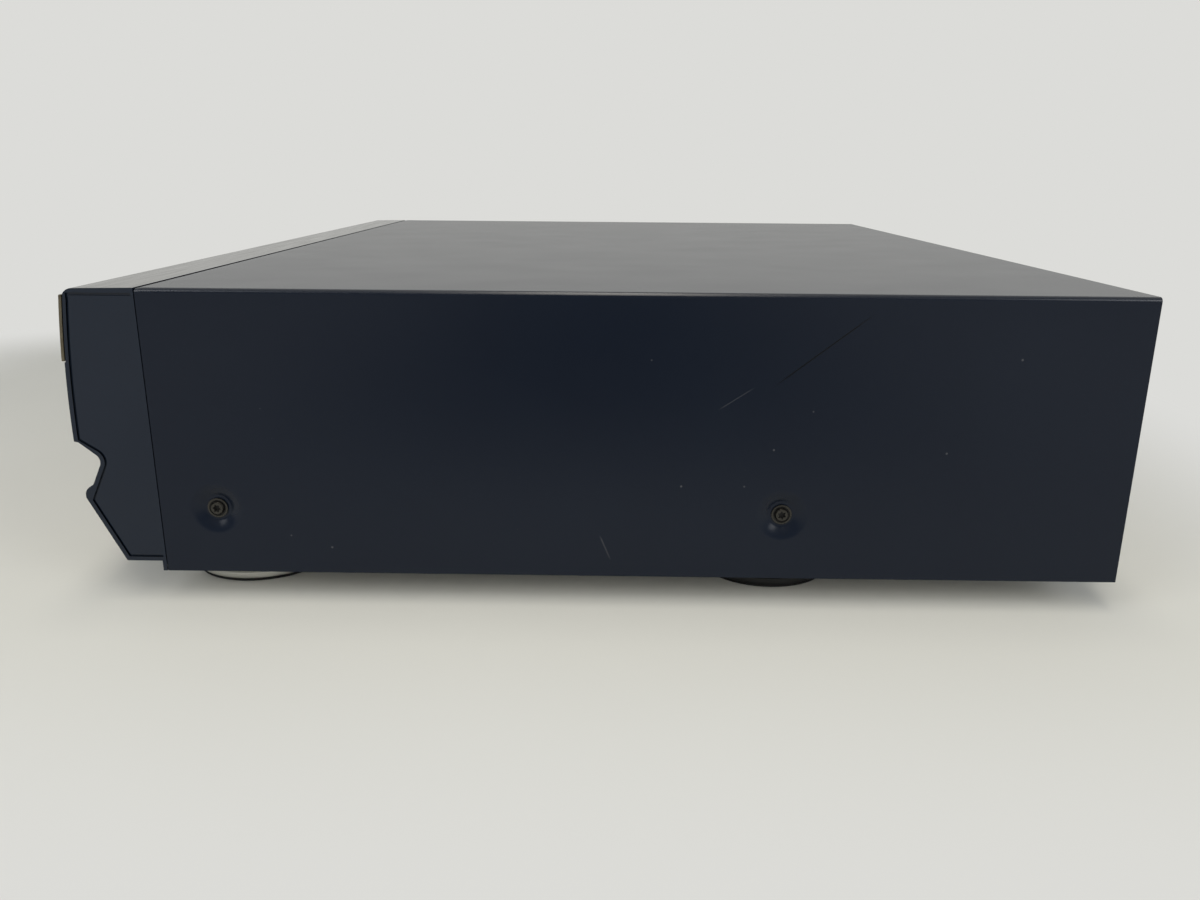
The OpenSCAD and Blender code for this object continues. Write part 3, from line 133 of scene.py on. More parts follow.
def new_finish(name, **sockets):
    material = bpy.data.materials.new(name)
    material.use_nodes = True
    tree = material.node_tree
    shader = tree.nodes["Principled BSDF"]
    for key, value in sockets.items():
        shader.inputs[key].default_value = value
    place = add(tree, "ShaderNodeTexCoord").outputs["Object"]
    return material, tree, shader, place


# the texture scale at which one cell of a pattern is this many millimetres wide
def cells_of(size_mm):
    return 1000.0 / size_mm


print("grey half way", [round(c, 3) for c in linear("#808080")[:3]])

# %% [markdown]
# Satin paint on the steel cover.
# Sheet steel is sprayed with a fine-textured blue-black paint and baked. It shows a soft sheen, a
# very fine orange peel, faint wipe marks, dust specks and a few scratches from use. A painted
# picture could carry them, but it blurs close up, so nodes draw them: the base is one dark colour
# with slow drift, and each mark is a mask in real millimetres.

# %% Cover paint: colour, orange peel and dust
# Baked paint gives the eye a dark even body under a soft mirror of the room.
# Real orange peel is some 0.3 mm wide, too fine to show here, so it is drawn at 0.9 mm.
cover_paint, tree, shader, place = new_finish("satin_baked_paint_on_steel", IOR=1.31)
drift = add(tree, "ShaderNodeTexNoise", {"Scale": cells_of(70), "Detail": 3.0}, {"Vector": place})
peel = add(tree, "ShaderNodeTexNoise", {"Scale": cells_of(0.9), "Detail": 2.0}, {"Vector": place})
stretch = add(tree, "ShaderNodeMapping", {"Scale": (0.6, 0.45, 1.0)}, {"Vector": place})
wipe = add(tree, "ShaderNodeTexNoise", {"Scale": cells_of(16), "Detail": 4.0},
           {"Vector": stretch.outputs[0]})
tone = add(tree, "ShaderNodeMix", {"A": linear("#0b111c"), "B": linear("#0f1621")},
           {"Factor": drift.outputs["Fac"]}, data_type="RGBA")

# one speck of dust in some of the 13 mm cells, under a millimetre across
dots = add(tree, "ShaderNodeTexVoronoi", {"Scale": cells_of(13), "Randomness": 1.0},
           {"Vector": place})
speck = add(tree, "ShaderNodeMapRange",
            {"From Min": 0.022, "From Max": 0.036, "To Min": 1.0, "To Max": 0.0},
            {"Value": dots.outputs["Distance"]})
chance = add(tree, "ShaderNodeSeparateColor", None, {"Color": dots.outputs["Color"]})
some = add(tree, "ShaderNodeMath", {1: 0.62}, {0: chance.outputs[0]}, operation="GREATER_THAN")
dust = add(tree, "ShaderNodeMath", None, {0: speck.outputs[0], 1: some.outputs[0]},
           operation="MULTIPLY")
dusted = add(tree, "ShaderNodeMix", {"B": linear("#3f4145")},
             {"Factor": dust.outputs[0], "A": tone.outputs["Result"]}, data_type="RGBA")
print("paint nodes so far", len(tree.nodes))

# %% Cover paint: scratches on the right side
# place back and up, tilt in degrees, half length and half width
UPPER_SCRATCH = (203.0, 66.2, 33.5, 7.4, 0.16)
LOWER_SCRATCH = (158.5, 11.0, -67.0, 5.2, 0.24)
DARK_RUB = (231.5, 83.0, 38.0, 21.0, 0.24)


def scratch_mask(y, z, tilt, half_len, half_wide):
    turned = add(tree, "ShaderNodeMapping",
                 {"Location": spot(HALF_W, y, z), "Rotation": (math.radians(tilt), 0.0, 0.0)},
                 {"Vector": place}, vector_type="TEXTURE")
    parts = add(tree, "ShaderNodeSeparateXYZ", None, {"Vector": turned.outputs[0]})
    along = add(tree, "ShaderNodeMath", None, {0: parts.outputs["Y"]}, operation="ABSOLUTE")
    across = add(tree, "ShaderNodeMath", None, {0: parts.outputs["Z"]}, operation="ABSOLUTE")
    # keeps the scratch off the cover's other side
    near = add(tree, "ShaderNodeMath", {1: -0.01}, {0: parts.outputs["X"]},
               operation="GREATER_THAN")
    # both the width and the length fade out softly, as a glancing scratch does
    line = add(tree, "ShaderNodeMapRange", {"From Min": half_wide / 2000, "To Min": 1.0,
                                            "From Max": half_wide / 700, "To Max": 0.0},
               {"Value": across.outputs[0]})
    ends = add(tree, "ShaderNodeMapRange", {"From Min": half_len / 1600, "To Min": 1.0,
                                            "From Max": half_len / 1000, "To Max": 0.0},
               {"Value": along.outputs[0]})
    mask = add(tree, "ShaderNodeMath", None, {0: line.outputs[0], 1: ends.outputs[0]},
               operation="MULTIPLY")
    return add(tree, "ShaderNodeMath", None, {0: mask.outputs[0], 1: near.outputs[0]},
               operation="MULTIPLY").outputs[0]


pale = add(tree, "ShaderNodeMath", None,
           {0: scratch_mask(*UPPER_SCRATCH), 1: scratch_mask(*LOWER_SCRATCH)},
           operation="MAXIMUM")
broken = add(tree, "ShaderNodeMath", None, {0: pale.outputs[0], 1: wipe.outputs["Fac"]},
             operation="MULTIPLY")
scratched = add(tree, "ShaderNodeMix", {"B": linear("#3a3b3f")},
                {"Factor": broken.outputs[0], "A": dusted.outputs["Result"]}, data_type="RGBA")
scuffed = add(tree, "ShaderNodeMix", {"B": linear("#05070b")},
              {"Factor": scratch_mask(*DARK_RUB), "A": scratched.outputs["Result"]},
              data_type="RGBA")
print("paint nodes with scratches", len(tree.nodes))

# %% Cover paint: gloss, and the fold that hands have rubbed brighter
FOLD_FULL = FOLD_R * 0.7
gloss = add(tree, "ShaderNodeMapRange",
            {"From Min": 0.3, "From Max": 0.7, "To Min": 0.256, "To Max": 0.272},
            {"Value": wipe.outputs["Fac"]})
bump = add(tree, "ShaderNodeBump", {"Strength": 0.12, "Distance": 0.00012},
           {"Height": peel.outputs["Fac"]})
where = add(tree, "ShaderNodeSeparateXYZ", None, {"Vector": place})
outward = add(tree, "ShaderNodeMath", None, {0: where.outputs["X"]}, operation="ABSOLUTE")
on_side = add(tree, "ShaderNodeMapRange", {"From Min": (HALF_W - FOLD_R) / 1000,
                                           "From Max": (HALF_W - FOLD_FULL) / 1000},
              {"Value": outward.outputs[0]})
on_top = add(tree, "ShaderNodeMapRange", {"From Min": spot(0, 0, COVER_H - FOLD_R).z,
                                          "From Max": spot(0, 0, COVER_H - FOLD_FULL).z},
             {"Value": where.outputs["Z"]})
fold = add(tree, "ShaderNodeMath", None, {0: on_side.outputs[0], 1: on_top.outputs[0]},
           operation="MULTIPLY")
rubbed = add(tree, "ShaderNodeMapRange", {"To Min": 0.5, "To Max": 1.0},
             {"Value": fold.outputs[0]})
tree.links.new(rubbed.outputs[0], shader.inputs["Specular IOR Level"])
tree.links.new(scuffed.outputs["Result"], shader.inputs["Base Color"])
tree.links.new(gloss.outputs[0], shader.inputs["Roughness"])
tree.links.new(bump.outputs[0], shader.inputs["Normal"])
print("finish", cover_paint.name, "nodes", len(tree.nodes))

# %% [markdown]
# Moulded plastics.
# The front, the keys, the mechanism and the rear connectors are injection-moulded. A moulding
# copies the grain of its steel tool, so each finish is one colour with a fine grain in the bump
# and a slow drift in gloss. Each could have its own nodes, but they differ only in colour, gloss
# and grain, so one function makes them all.

# %% Moulded finishes
# Tool grain is 0.05 to 0.2 mm wide, too fine to show here, so it is drawn at 0.3 to 1.2 mm.
def moulded(name, dark, pale, rough, grain_mm, depth_mm, ior=1.5):
    material, tree, shader, place = new_finish(name, IOR=ior)
    grain = add(tree, "ShaderNodeTexNoise",
                {"Scale": cells_of(grain_mm), "Detail": 3.0, "Roughness": 0.6}, {"Vector": place})
    drift = add(tree, "ShaderNodeTexNoise", {"Scale": cells_of(45), "Detail": 2.0},
                {"Vector": place})
    tone = add(tree, "ShaderNodeMix", {"A": linear(dark), "B": linear(pale)},
               {"Factor": drift.outputs["Fac"]}, data_type="RGBA")
    gloss = add(tree, "ShaderNodeMapRange", {"From Min": 0.3, "From Max": 0.7,
                                             "To Min": rough - 0.05, "To Max": rough + 0.05},
                {"Value": drift.outputs["Fac"]})
    bump = add(tree, "ShaderNodeBump", {"Strength": 0.25, "Distance": depth_mm / 1000},
               {"Height": grain.outputs["Fac"]})
    tree.links.new(tone.outputs["Result"], shader.inputs["Base Color"])
    tree.links.new(gloss.outputs[0], shader.inputs["Roughness"])
    tree.links.new(bump.outputs[0], shader.inputs["Normal"])
    return material


# ABS from a finely blasted tool: calm blue-black that mirrors the room a little.
fascia_plastic = moulded("fine_grained_dark_abs", "#0d1520", "#111925", 0.15, 0.8, 0.05, 1.37)
# ABS polished by fingers: charcoal with a satin glint along the rounded edges.
key_plastic = moulded("satin_dark_abs_keys", "#1d2025", "#24272c", 0.36, 0.6, 0.05)
# Polystyrene from a matt tool: soft even black that hides its own edges.
mech_plastic = moulded("matt_black_polystyrene", "#17181a", "#1e2022", 0.50, 0.9, 0.12)
# Nylon full of glass fibre: dull black with a dry, slightly cloudy skin.
frame_plastic = moulded("glass_filled_black_nylon", "#101112", "#191a1b", 0.58, 1.2, 0.20)
# Acetal: waxy off-white, as small gears have.
gear_plastic = moulded("white_acetal", "#cfcdc4", "#dcdad2", 0.38, 1.0, 0.05)
# ABS foot from a plain tool: near black with a weak shine on its rim.
foot_black = moulded("black_moulded_abs_foot", "#0a0b0d", "#0f1012", 0.42, 0.8, 0.08)
# Rubber cut from sheet: flat black with no mirror at all.
pad_rubber = moulded("black_sheet_rubber", "#0d0d0d", "#161616", 0.82, 0.7, 0.20)
# Belt rubber ground to size: black with a faint dusty sheen.
belt_rubber = moulded("ground_drive_belt_rubber", "#0b0b0b", "#121212", 0.74, 0.5, 0.10)
# Connector plastic from a polished tool: black with clear highlights.
jack_plastic = moulded("gloss_black_connector_plastic", "#0b0b0c", "#111113", 0.30, 0.8, 0.04)
print("last moulded finish", jack_plastic.name, "of", len(bpy.data.materials), "materials so far")

# %% [markdown]
# Metals.
# Plated screws, a brushed bronze strip, ground rods and brass pinions are all metals, so their
# colour sits in the reflection. What tells them apart is the mark that making left: brush lines,
# saw marks or grinding. Stretched noise gives all of these, so one function serves again.

# %% Metal finishes
# Brush and grinding lines are under 0.1 mm apart, too fine to show here, so they are drawn at
# 0.4 mm and more. The stretch pulls them long in one direction.
def metal(name, dark, pale, rough, scratch_mm, stretch, depth_mm=0.02):
    material, tree, shader, place = new_finish(name, Metallic=1.0)
    pulled = add(tree, "ShaderNodeMapping", {"Scale": stretch}, {"Vector": place})
    lines = add(tree, "ShaderNodeTexNoise",
                {"Scale": cells_of(scratch_mm), "Detail": 4.0, "Roughness": 0.65},
                {"Vector": pulled.outputs[0]})
    tone = add(tree, "ShaderNodeMix", {"A": linear(dark), "B": linear(pale)},
               {"Factor": lines.outputs["Fac"]}, data_type="RGBA")
    gloss = add(tree, "ShaderNodeMapRange", {"From Min": 0.3, "From Max": 0.7,
                                             "To Min": rough - 0.07, "To Max": rough + 0.07},
                {"Value": lines.outputs["Fac"]})
    bump = add(tree, "ShaderNodeBump", {"Strength": 0.2, "Distance": depth_mm / 1000},
               {"Height": lines.outputs["Fac"]})
    tree.links.new(tone.outputs["Result"], shader.inputs["Base Color"])
    tree.links.new(gloss.outputs[0], shader.inputs["Roughness"])
    tree.links.new(bump.outputs[0], shader.inputs["Normal"])
    return material


ALL_WAYS = (1.0, 1.0, 1.0)
# Anodised aluminium brushed along its length: warm grey-brown with a silky band of light.
strip_bronze = metal("brushed_bronze_anodised_aluminium", "#686254", "#736d5f", 0.34, 0.5,
                     (0.02, 1.0, 1.0))
# The same strip where a saw cut it: mottled, part stained and part bare.
strip_end = metal("sawn_bronze_anodised_end", "#3d3627", "#968d78", 0.42, 2.2, ALL_WAYS, 0.1)
# Blackened plating on steel: dark, with small hard glints.
screw_steel = metal("blackened_plated_steel", "#3a3936", "#514f4a", 0.30, 0.8, ALL_WAYS)
# Steel rod ground round: bright, with fine lines along it.
rod_steel = metal("ground_steel", "#9c9c9a", "#b9b9b6", 0.22, 0.4, (1.0, 0.08, 1.0))
# Nickel on a drawn case: grey mirror, a little streaked up its sides.
motor_can = metal("nickel_plated_motor_case", "#8f8f8c", "#a9a9a5", 0.30, 1.5, (1.0, 1.0, 0.3))
# Brass from the lathe: yellow, with bright turned flanks.
brass = metal("turned_brass", "#a8823c", "#c09a52", 0.28, 0.4, (1.0, 1.0, 0.2))
# Nickel on a polished contact: pale and nearly a mirror.
nickel = metal("bright_nickel_plate", "#a3a29d", "#bdbcb6", 0.20, 0.6, ALL_WAYS)
# Aluminium brushed across the front under dark lacquer: warm charcoal with a wet shine.
shell_metal = metal("dark_lacquered_brushed_aluminium", "#4b4a46", "#5c5b56", 0.20, 0.5,
                    (0.015, 1.0, 1.0))
print("last metal", shell_metal.name, "of", len(bpy.data.materials), "materials so far")

# %% [markdown]
# Galvanised sheet.
# Zinc freezes on steel in flat crystals a few millimetres wide, each with its own grey. Voronoi
# cells give such crystals at once, where noise would only give clouds, and a little wander keeps
# their edges from looking drawn.

# %% Zinc-plated sheet
# Zinc on steel gives the eye a pale grey patchwork that shimmers as the light moves.
zinc_sheet, tree, shader, place = new_finish("zinc_plated_sheet_steel", Metallic=1.0)
wander = add(tree, "ShaderNodeTexNoise", {"Scale": cells_of(6), "Detail": 2.0}, {"Vector": place})
moved = add(tree, "ShaderNodeVectorMath", {1: (0.002, 0.002, 0.002)},
            {0: wander.outputs["Color"]}, operation="MULTIPLY")
shifted = add(tree, "ShaderNodeVectorMath", None, {0: place, 1: moved.outputs[0]}, operation="ADD")
crystals = add(tree, "ShaderNodeTexVoronoi", {"Scale": cells_of(4.5)},
               {"Vector": shifted.outputs[0]})
shade = add(tree, "ShaderNodeSeparateColor", None, {"Color": crystals.outputs["Color"]})
tone = add(tree, "ShaderNodeMix", {"A": linear("#939596"), "B": linear("#9d9f9f")},
           {"Factor": shade.outputs[0]}, data_type="RGBA")
gloss = add(tree, "ShaderNodeMapRange", {"To Min": 0.34, "To Max": 0.46},
            {"Value": shade.outputs[1]})
tree.links.new(tone.outputs["Result"], shader.inputs["Base Color"])
tree.links.new(gloss.outputs[0], shader.inputs["Roughness"])
print("finish", zinc_sheet.name, "nodes", len(tree.nodes))

# %% [markdown]
# Turned silver feet.
# The front feet are turned on a lathe, which leaves fine rings round the foot's own middle. Each
# foot could have a finish of its own, but both stand the same distance from the cabinet's middle,
# so the width is folded over at zero and one ring pattern serves both.

# %% Turned finish
# Turned aluminium gives the eye pale silver with light drawn out along the rings.
# Real turning marks are some 0.1 mm apart, too fine to show here, so they are drawn at 0.5 mm.
FOOT_X, FRONT_FOOT_Y = 176.0, 20.0
foot_silver, tree, shader, place = new_finish("turned_satin_aluminium", Metallic=1.0,
                                              Roughness=0.42)
parts = add(tree, "ShaderNodeSeparateXYZ", None, {"Vector": place})
folded = add(tree, "ShaderNodeMath", None, {0: parts.outputs["X"]}, operation="ABSOLUTE")
side = add(tree, "ShaderNodeMath", {1: FOOT_X / 1000}, {0: folded.outputs[0]},
           operation="SUBTRACT")
back = add(tree, "ShaderNodeMath", {1: spot(0, FRONT_FOOT_Y, 0).y}, {0: parts.outputs["Y"]},
           operation="SUBTRACT")
flat = add(tree, "ShaderNodeCombineXYZ", None, {"X": side.outputs[0], "Y": back.outputs[0]})
reach = add(tree, "ShaderNodeVectorMath", None, {0: flat.outputs[0]}, operation="LENGTH")
lathe = add(tree, "ShaderNodeCombineXYZ", None,
            {"X": reach.outputs["Value"], "Y": parts.outputs["Z"]})
rings = add(tree, "ShaderNodeTexNoise", {"Scale": cells_of(0.5), "Detail": 3.0},
            {"Vector": lathe.outputs[0]})
tone = add(tree, "ShaderNodeMix", {"A": linear("#cfcec7"), "B": linear("#e4e3dc")},
           {"Factor": rings.outputs["Fac"]}, data_type="RGBA")
bump = add(tree, "ShaderNodeBump", {"Strength": 0.3, "Distance": 0.00005},
           {"Height": rings.outputs["Fac"]})
tree.links.new(tone.outputs["Result"], shader.inputs["Base Color"])
tree.links.new(bump.outputs[0], shader.inputs["Normal"])
print("finish", foot_silver.name, "nodes", len(tree.nodes))

# %% [markdown]
# Window, boards and transformer.
# The window is smoked acrylic, dark enough to hide the unlit display. The boards are green
# lacquered laminate with paler tracks, and the transformer is a varnished stack of steel sheets.
# Tracks and sheets could be modelled, but their relief is thinner than a hair, so a brick pattern
# and a wave pattern draw them.

# %% Acrylic, laminate, laminations
# Smoked acrylic gives the eye a black gloss with a faint haze of wiping.
window_acrylic, tree, shader, place = new_finish("smoked_acrylic", IOR=1.49, Roughness=0.06)
haze = add(tree, "ShaderNodeTexNoise", {"Scale": cells_of(25), "Detail": 3.0}, {"Vector": place})
tone = add(tree, "ShaderNodeMix", {"A": linear("#07080a"), "B": linear("#0c0e11")},
           {"Factor": haze.outputs["Fac"]}, data_type="RGBA")
tree.links.new(tone.outputs["Result"], shader.inputs["Base Color"])

# Lacquered laminate gives the eye a clear green with paler lines where copper runs below.
board_laminate, tree, shader, place = new_finish("green_lacquered_laminate", IOR=1.5,
                                                 Roughness=0.32)
tracks = add(tree, "ShaderNodeTexBrick",
             {"Color1": linear("#1e4a2b"), "Color2": linear("#24552f"),
              "Mortar": linear("#3d7a48"), "Scale": cells_of(8), "Mortar Size": 0.06},
             {"Vector": place})
tree.links.new(tracks.outputs["Color"], shader.inputs["Base Color"])

# Varnished laminations give the eye a brown stack of thin dark and pale edges.
# Wave's bands come out at a third of a cell, so cells of 3.2 mm give layers of 1 mm. Real sheets
# are half of that, too fine to show.
transformer_iron, tree, shader, place = new_finish("varnished_laminations", IOR=1.5,
                                                   Roughness=0.45, Metallic=0.4)
layers = add(tree, "ShaderNodeTexWave", {"Scale": cells_of(3.2), "Distortion": 0.4},
             {"Vector": place}, bands_direction="Z")
tone = add(tree, "ShaderNodeMix", {"A": linear("#3a2c20"), "B": linear("#5a4330")},
           {"Factor": layers.outputs["Fac"]}, data_type="RGBA")
bump = add(tree, "ShaderNodeBump", {"Strength": 0.3, "Distance": 0.0001},
           {"Height": layers.outputs["Fac"]})
tree.links.new(tone.outputs["Result"], shader.inputs["Base Color"])
tree.links.new(bump.outputs[0], shader.inputs["Normal"])
print("finishes", window_acrylic.name, board_laminate.name, transformer_iron.name)

# %% [markdown]
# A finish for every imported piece.
# Pieces that stay as packed, most of them inside the cabinet, still get a finish of their own.
# The record names a slot for each, so a table of slots is enough, and no piece is forgotten.

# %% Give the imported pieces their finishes
slot_finish = {
    "cover_paint": cover_paint, "zinc_sheet": zinc_sheet, "screw_zinc": screw_steel,
    "fascia_plastic": fascia_plastic, "window_acrylic": window_acrylic,
    "board_laminate": board_laminate, "foot_silver": foot_silver, "foot_black": foot_black,
    "pad_rubber": pad_rubber, "key_plastic": key_plastic, "strip_bronze": strip_bronze,
    "mech_plastic": mech_plastic, "steel_rod": rod_steel, "motor_can": motor_can,
    "gear_plastic": gear_plastic, "brass_metal": brass, "black_plastic": jack_plastic,
    "transformer_iron": transformer_iron}
slot_of = {part["node"]: part["material_slot"] for part in frame["record"]["subparts"]}
for name, piece in nodes.items():
    piece.data.materials.clear()
    piece.data.materials.append(slot_finish[slot_of[name]])
for name in ("carousel_belt", "drawer_belt"):
    nodes[name].data.materials[0] = belt_rubber
nodes["pickup_frame"].data.materials[0] = frame_plastic
print("finished nodes", len(nodes))

# %% [markdown]
# Rounded copies.
# A real edge is never sharp: a moulding has a radius, and cut sheet is a little blunt, so edges
# catch a thin line of light. A bevel in the shader would only fake that line, so the mesh is
# beveled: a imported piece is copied, its loose triangles are welded into whole faces, and its sharp
# edges get a small bevel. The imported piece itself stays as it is.

# %% Helpers for working on one piece
SAME_SPOT = 1e-6


def only(piece):
    bpy.ops.object.select_all(action="DESELECT")
    piece.select_set(True)
    bpy.context.view_layer.objects.active = piece


def edit_all(piece):
    only(piece)
    bpy.ops.object.mode_set(mode="EDIT")
    bpy.ops.mesh.select_all(action="SELECT")


def leave_edit():
    bpy.ops.object.mode_set(mode="OBJECT")


def apply_all(piece):
    only(piece)
    for modifier in list(piece.modifiers):
        bpy.ops.object.modifier_apply(modifier=modifier.name)


def merge_close(piece):
    edit_all(piece)
    bpy.ops.mesh.remove_doubles(threshold=SAME_SPOT)
    leave_edit()


print("points closer than", SAME_SPOT * 1000, "mm will be merged")

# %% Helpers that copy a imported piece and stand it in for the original
FLAT_WITHIN = 0.3


def welded_copy(node, name):
    piece = nodes[node].copy()
    piece.data = nodes[node].data.copy()
    piece.name = name
    del piece["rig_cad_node"]
    bpy.context.scene.collection.objects.link(piece)
    only(piece)
    bpy.ops.mesh.customdata_custom_splitnormals_clear()
    merge_close(piece)
    edit_all(piece)
    bpy.ops.mesh.dissolve_limited(angle_limit=math.radians(FLAT_WITHIN))
    leave_edit()
    return piece


def stand_for(piece, node, finish, smooth=30.0):
    only(piece)
    bpy.ops.object.shade_smooth_by_angle(angle=math.radians(smooth))
    even = piece.modifiers.new("flat_faces_stay_flat", "WEIGHTED_NORMAL")
    even.keep_sharp = True
    apply_all(piece)
    piece.data.materials.clear()
    piece.data.materials.append(finish)
    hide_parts(node)
    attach(piece, body_of[node])
    return piece


def second_finish(piece, finish, test):
    piece.data.materials.append(finish)
    count = 0
    for face in piece.data.polygons:
        if test(face.center, face.normal):
            face.material_index = 1
            count += 1
    print(piece.name, finish.name, "faces", count)


print("faces within", FLAT_WITHIN, "degrees will be joined")

# %% Helpers that round edges
SHARP = 32.0


# the test, where there is one, takes an edge's two ends and says whether it is rounded
def round_edges(piece, radius_mm, segments=2, test=None):
    mesh = piece.data
    ways = {}
    for face in mesh.polygons:
        for key in face.edge_keys:
            ways.setdefault(key, []).append(face.normal.copy())
    weights = mesh.attributes.new("bevel_weight_edge", "FLOAT", "EDGE")
    sharpest = math.cos(math.radians(SHARP))
    count = 0
    for edge in mesh.edges:
        pair = ways[edge.key]
        ends = [mesh.vertices[i].co for i in edge.vertices]
        folded = len(pair) == 2 and pair[0].dot(pair[1]) < sharpest
        if folded and (test is None or test(*ends)):
            weights.data[edge.index].value = 1.0
            count += 1
    bevel = piece.modifiers.new("edge", "BEVEL")
    bevel.width = radius_mm / 1000
    bevel.segments = segments
    bevel.limit_method = "WEIGHT"
    apply_all(piece)
    merge_close(piece)
    print(piece.name, "rounded edges", count)


def rounded(node, radius_mm, finish, segments=2):
    piece = welded_copy(node, node + "_rounded")
    round_edges(piece, radius_mm, segments=segments)
    return stand_for(piece, node, finish, SHARP)


print("edges sharper than", SHARP, "degrees will be rounded")

# %% [markdown]
# Picking by place.
# By hand, faces are clicked. Modelling by script means saying which ones to work on, and their
# numbers change with every step, so one helper selects faces or edges by a test on their place and
# direction instead, then leaves the piece in edit mode for the next operator.

# %% Helpers that pick, draw out and soften
def pick(piece, test, kind="FACE"):
    only(piece)
    bpy.context.tool_settings.mesh_select_mode = (False, kind == "EDGE", kind == "FACE")
    bpy.ops.object.mode_set(mode="EDIT")
    bpy.ops.mesh.select_all(action="DESELECT")
    leave_edit()
    mesh = piece.data
    if kind == "FACE":
        for face in mesh.polygons:
            face.select = bool(test(face.center, face.normal))
    else:
        for edge in mesh.edges:
            edge.select = bool(test(*(mesh.vertices[i].co for i in edge.vertices)))
    bpy.ops.object.mode_set(mode="EDIT")


# draws what is selected out by so many millimetres
def draw_out(x, y, z):
    way = (x / 1000, y / 1000, z / 1000)
    bpy.ops.mesh.extrude_region_move(TRANSFORM_OT_translate={"value": way})


def face_outward():
    bpy.ops.mesh.select_all(action="SELECT")
    bpy.ops.mesh.normals_make_consistent(inside=False)
    leave_edit()


def settle(piece):
    only(piece)
    bpy.ops.object.transform_apply(location=True, rotation=True, scale=True)


def soften(piece, radius_mm, angle=30.0):
    bevel = piece.modifiers.new("edge", "BEVEL")
    bevel.width = radius_mm / 1000
    bevel.segments = 2
    bevel.limit_method = "ANGLE"
    bevel.angle_limit = math.radians(angle)
    apply_all(piece)
    merge_close(piece)


print("helpers", [f.__name__ for f in (pick, draw_out, face_outward, settle, soften)])

# %% [markdown]
# The folded cover.
# One sheet is folded over the top and two sides, and a press pushes a soft dimple into each side
# round every screw. A box with cut dimples would show hard rims, so a grid follows the sheet's line
# from one lower edge over the top to the other, with close rows only where a dimple needs them.
# The front edge dips a little, as a sheared edge does, and Solidify gives the sheet its thickness.

# %% The lines that the sheet follows
DIMPLE_Z = 24.0
DIMPLE_Y = (20.0, 221.0)
DIMPLE_DEEP, DIMPLE_RIM, DIMPLE_FLOOR = 1.8, 9.4, 4.65
DIMPLE_FLARE = 1.5
CLOSE_ROWS, FOLD_ROWS, TOP_ROWS = 56, 6, 6
EDGE_DIP, SIDE_SLACK = 0.3, 0.01


def steps(low, high, count):
    return [low + (high - low) * i / count for i in range(count)]


heights = [0.0, 4.0, 9.0] + steps(13.0, 35.0, CLOSE_ROWS) \
    + [35.0, 44.0, 56.0, 70.0, 84.0, 95.0, COVER_H - FOLD_R]
turns = [math.radians(a) for a in steps(0.0, 90.0, FOLD_ROWS)[1:]]
side_line = [(HALF_W, z) for z in heights]
fold_line = [(HALF_W - FOLD_R + FOLD_R * math.cos(a), COVER_H - FOLD_R + FOLD_R * math.sin(a))
             for a in turns]
top_line = [(x, COVER_H) for x in steps(HALF_W - FOLD_R, 0.0, TOP_ROWS)]
half_line = side_line + fold_line + top_line
sheet_line = half_line + [(0.0, COVER_H)] + [(-x, z) for x, z in reversed(half_line)]
depths = [0.0, 2.5, 7.0] + steps(9.0, 31.0, CLOSE_ROWS) \
    + [31.0, 50.0, 80.0, 115.0, 150.0, 185.0, 206.0] \
    + steps(210.0, 232.0, CLOSE_ROWS) + [232.0, 255.0, 285.0, 315.0, 335.0, COVER_D]
print("sheet points round", len(sheet_line), "and back", len(depths))

# %% Sheet and dimples
bpy.ops.object.select_all(action="DESELECT")
bpy.ops.mesh.primitive_grid_add(x_subdivisions=len(sheet_line) - 1,
                                y_subdivisions=len(depths) - 1, size=1.0)
cover = bpy.context.object
cover.name = "cover_sheet"
for v in cover.data.vertices:
    column = round((v.co.x + 0.5) * (len(sheet_line) - 1))
    row = round((v.co.y + 0.5) * (len(depths) - 1))
    x, z = sheet_line[column]
    y = depths[row]
    for middle in DIMPLE_Y:
        away = math.hypot(y - middle, z - DIMPLE_Z)
        if abs(x) > HALF_W - SIDE_SLACK and away < DIMPLE_RIM:
            t = min(1.0, (DIMPLE_RIM - away) / (DIMPLE_RIM - DIMPLE_FLOOR))
            x -= math.copysign(DIMPLE_DEEP * t ** DIMPLE_FLARE, x)
    if y == 0.0 and z > COVER_H - FOLD_R:
        z -= EDGE_DIP * (z - COVER_H + FOLD_R) / FOLD_R
    v.co = spot(x, y, z)
print("sheet points", len(cover.data.vertices))

# %% Turn down the rear lip and give the sheet its thickness
LIP, BLUNT, BLUNT_ABOVE = 11.5, 0.15, 50.0
rear, top = spot(0, COVER_D, 0).y, spot(0, 0, COVER_H).z


def on_rear_edge(p):
    return abs(p.y - rear) < SAME_SPOT and abs(p.z - top) < SAME_SPOT


pick(cover, lambda a, b: on_rear_edge(a) and on_rear_edge(b), "EDGE")
draw_out(0.0, 0.0, -LIP)
face_outward()
thick = cover.modifiers.new("sheet", "SOLIDIFY")
thick.thickness = SHEET / 1000
thick.offset = -1.0
thick.use_even_offset = True
blunt = cover.modifiers.new("blunt_edge", "BEVEL")
blunt.width = BLUNT / 1000
blunt.segments = 2
blunt.limit_method = "ANGLE"
blunt.angle_limit = math.radians(BLUNT_ABOVE)
apply_all(cover)
stand_for(cover, "top_cover", cover_paint, 40.0)
print("cover", [round(v * 1000, 1) for v in (*cover.bound_box[0], *cover.bound_box[6])])

# %% [markdown]
# Rounded pieces of the outside.
# The front moulding, the bronze drawer strip, the feet and the sheet metal keep their packed
# shapes, which follow the photograph, and only need their edges softened. The front is a brushed
# metal shell on a dark moulding, whose edge shows at the seam. Two pieces could be modelled, but
# one mesh cut along the shell's end takes both finishes. The strip's sawn ends get their own too.

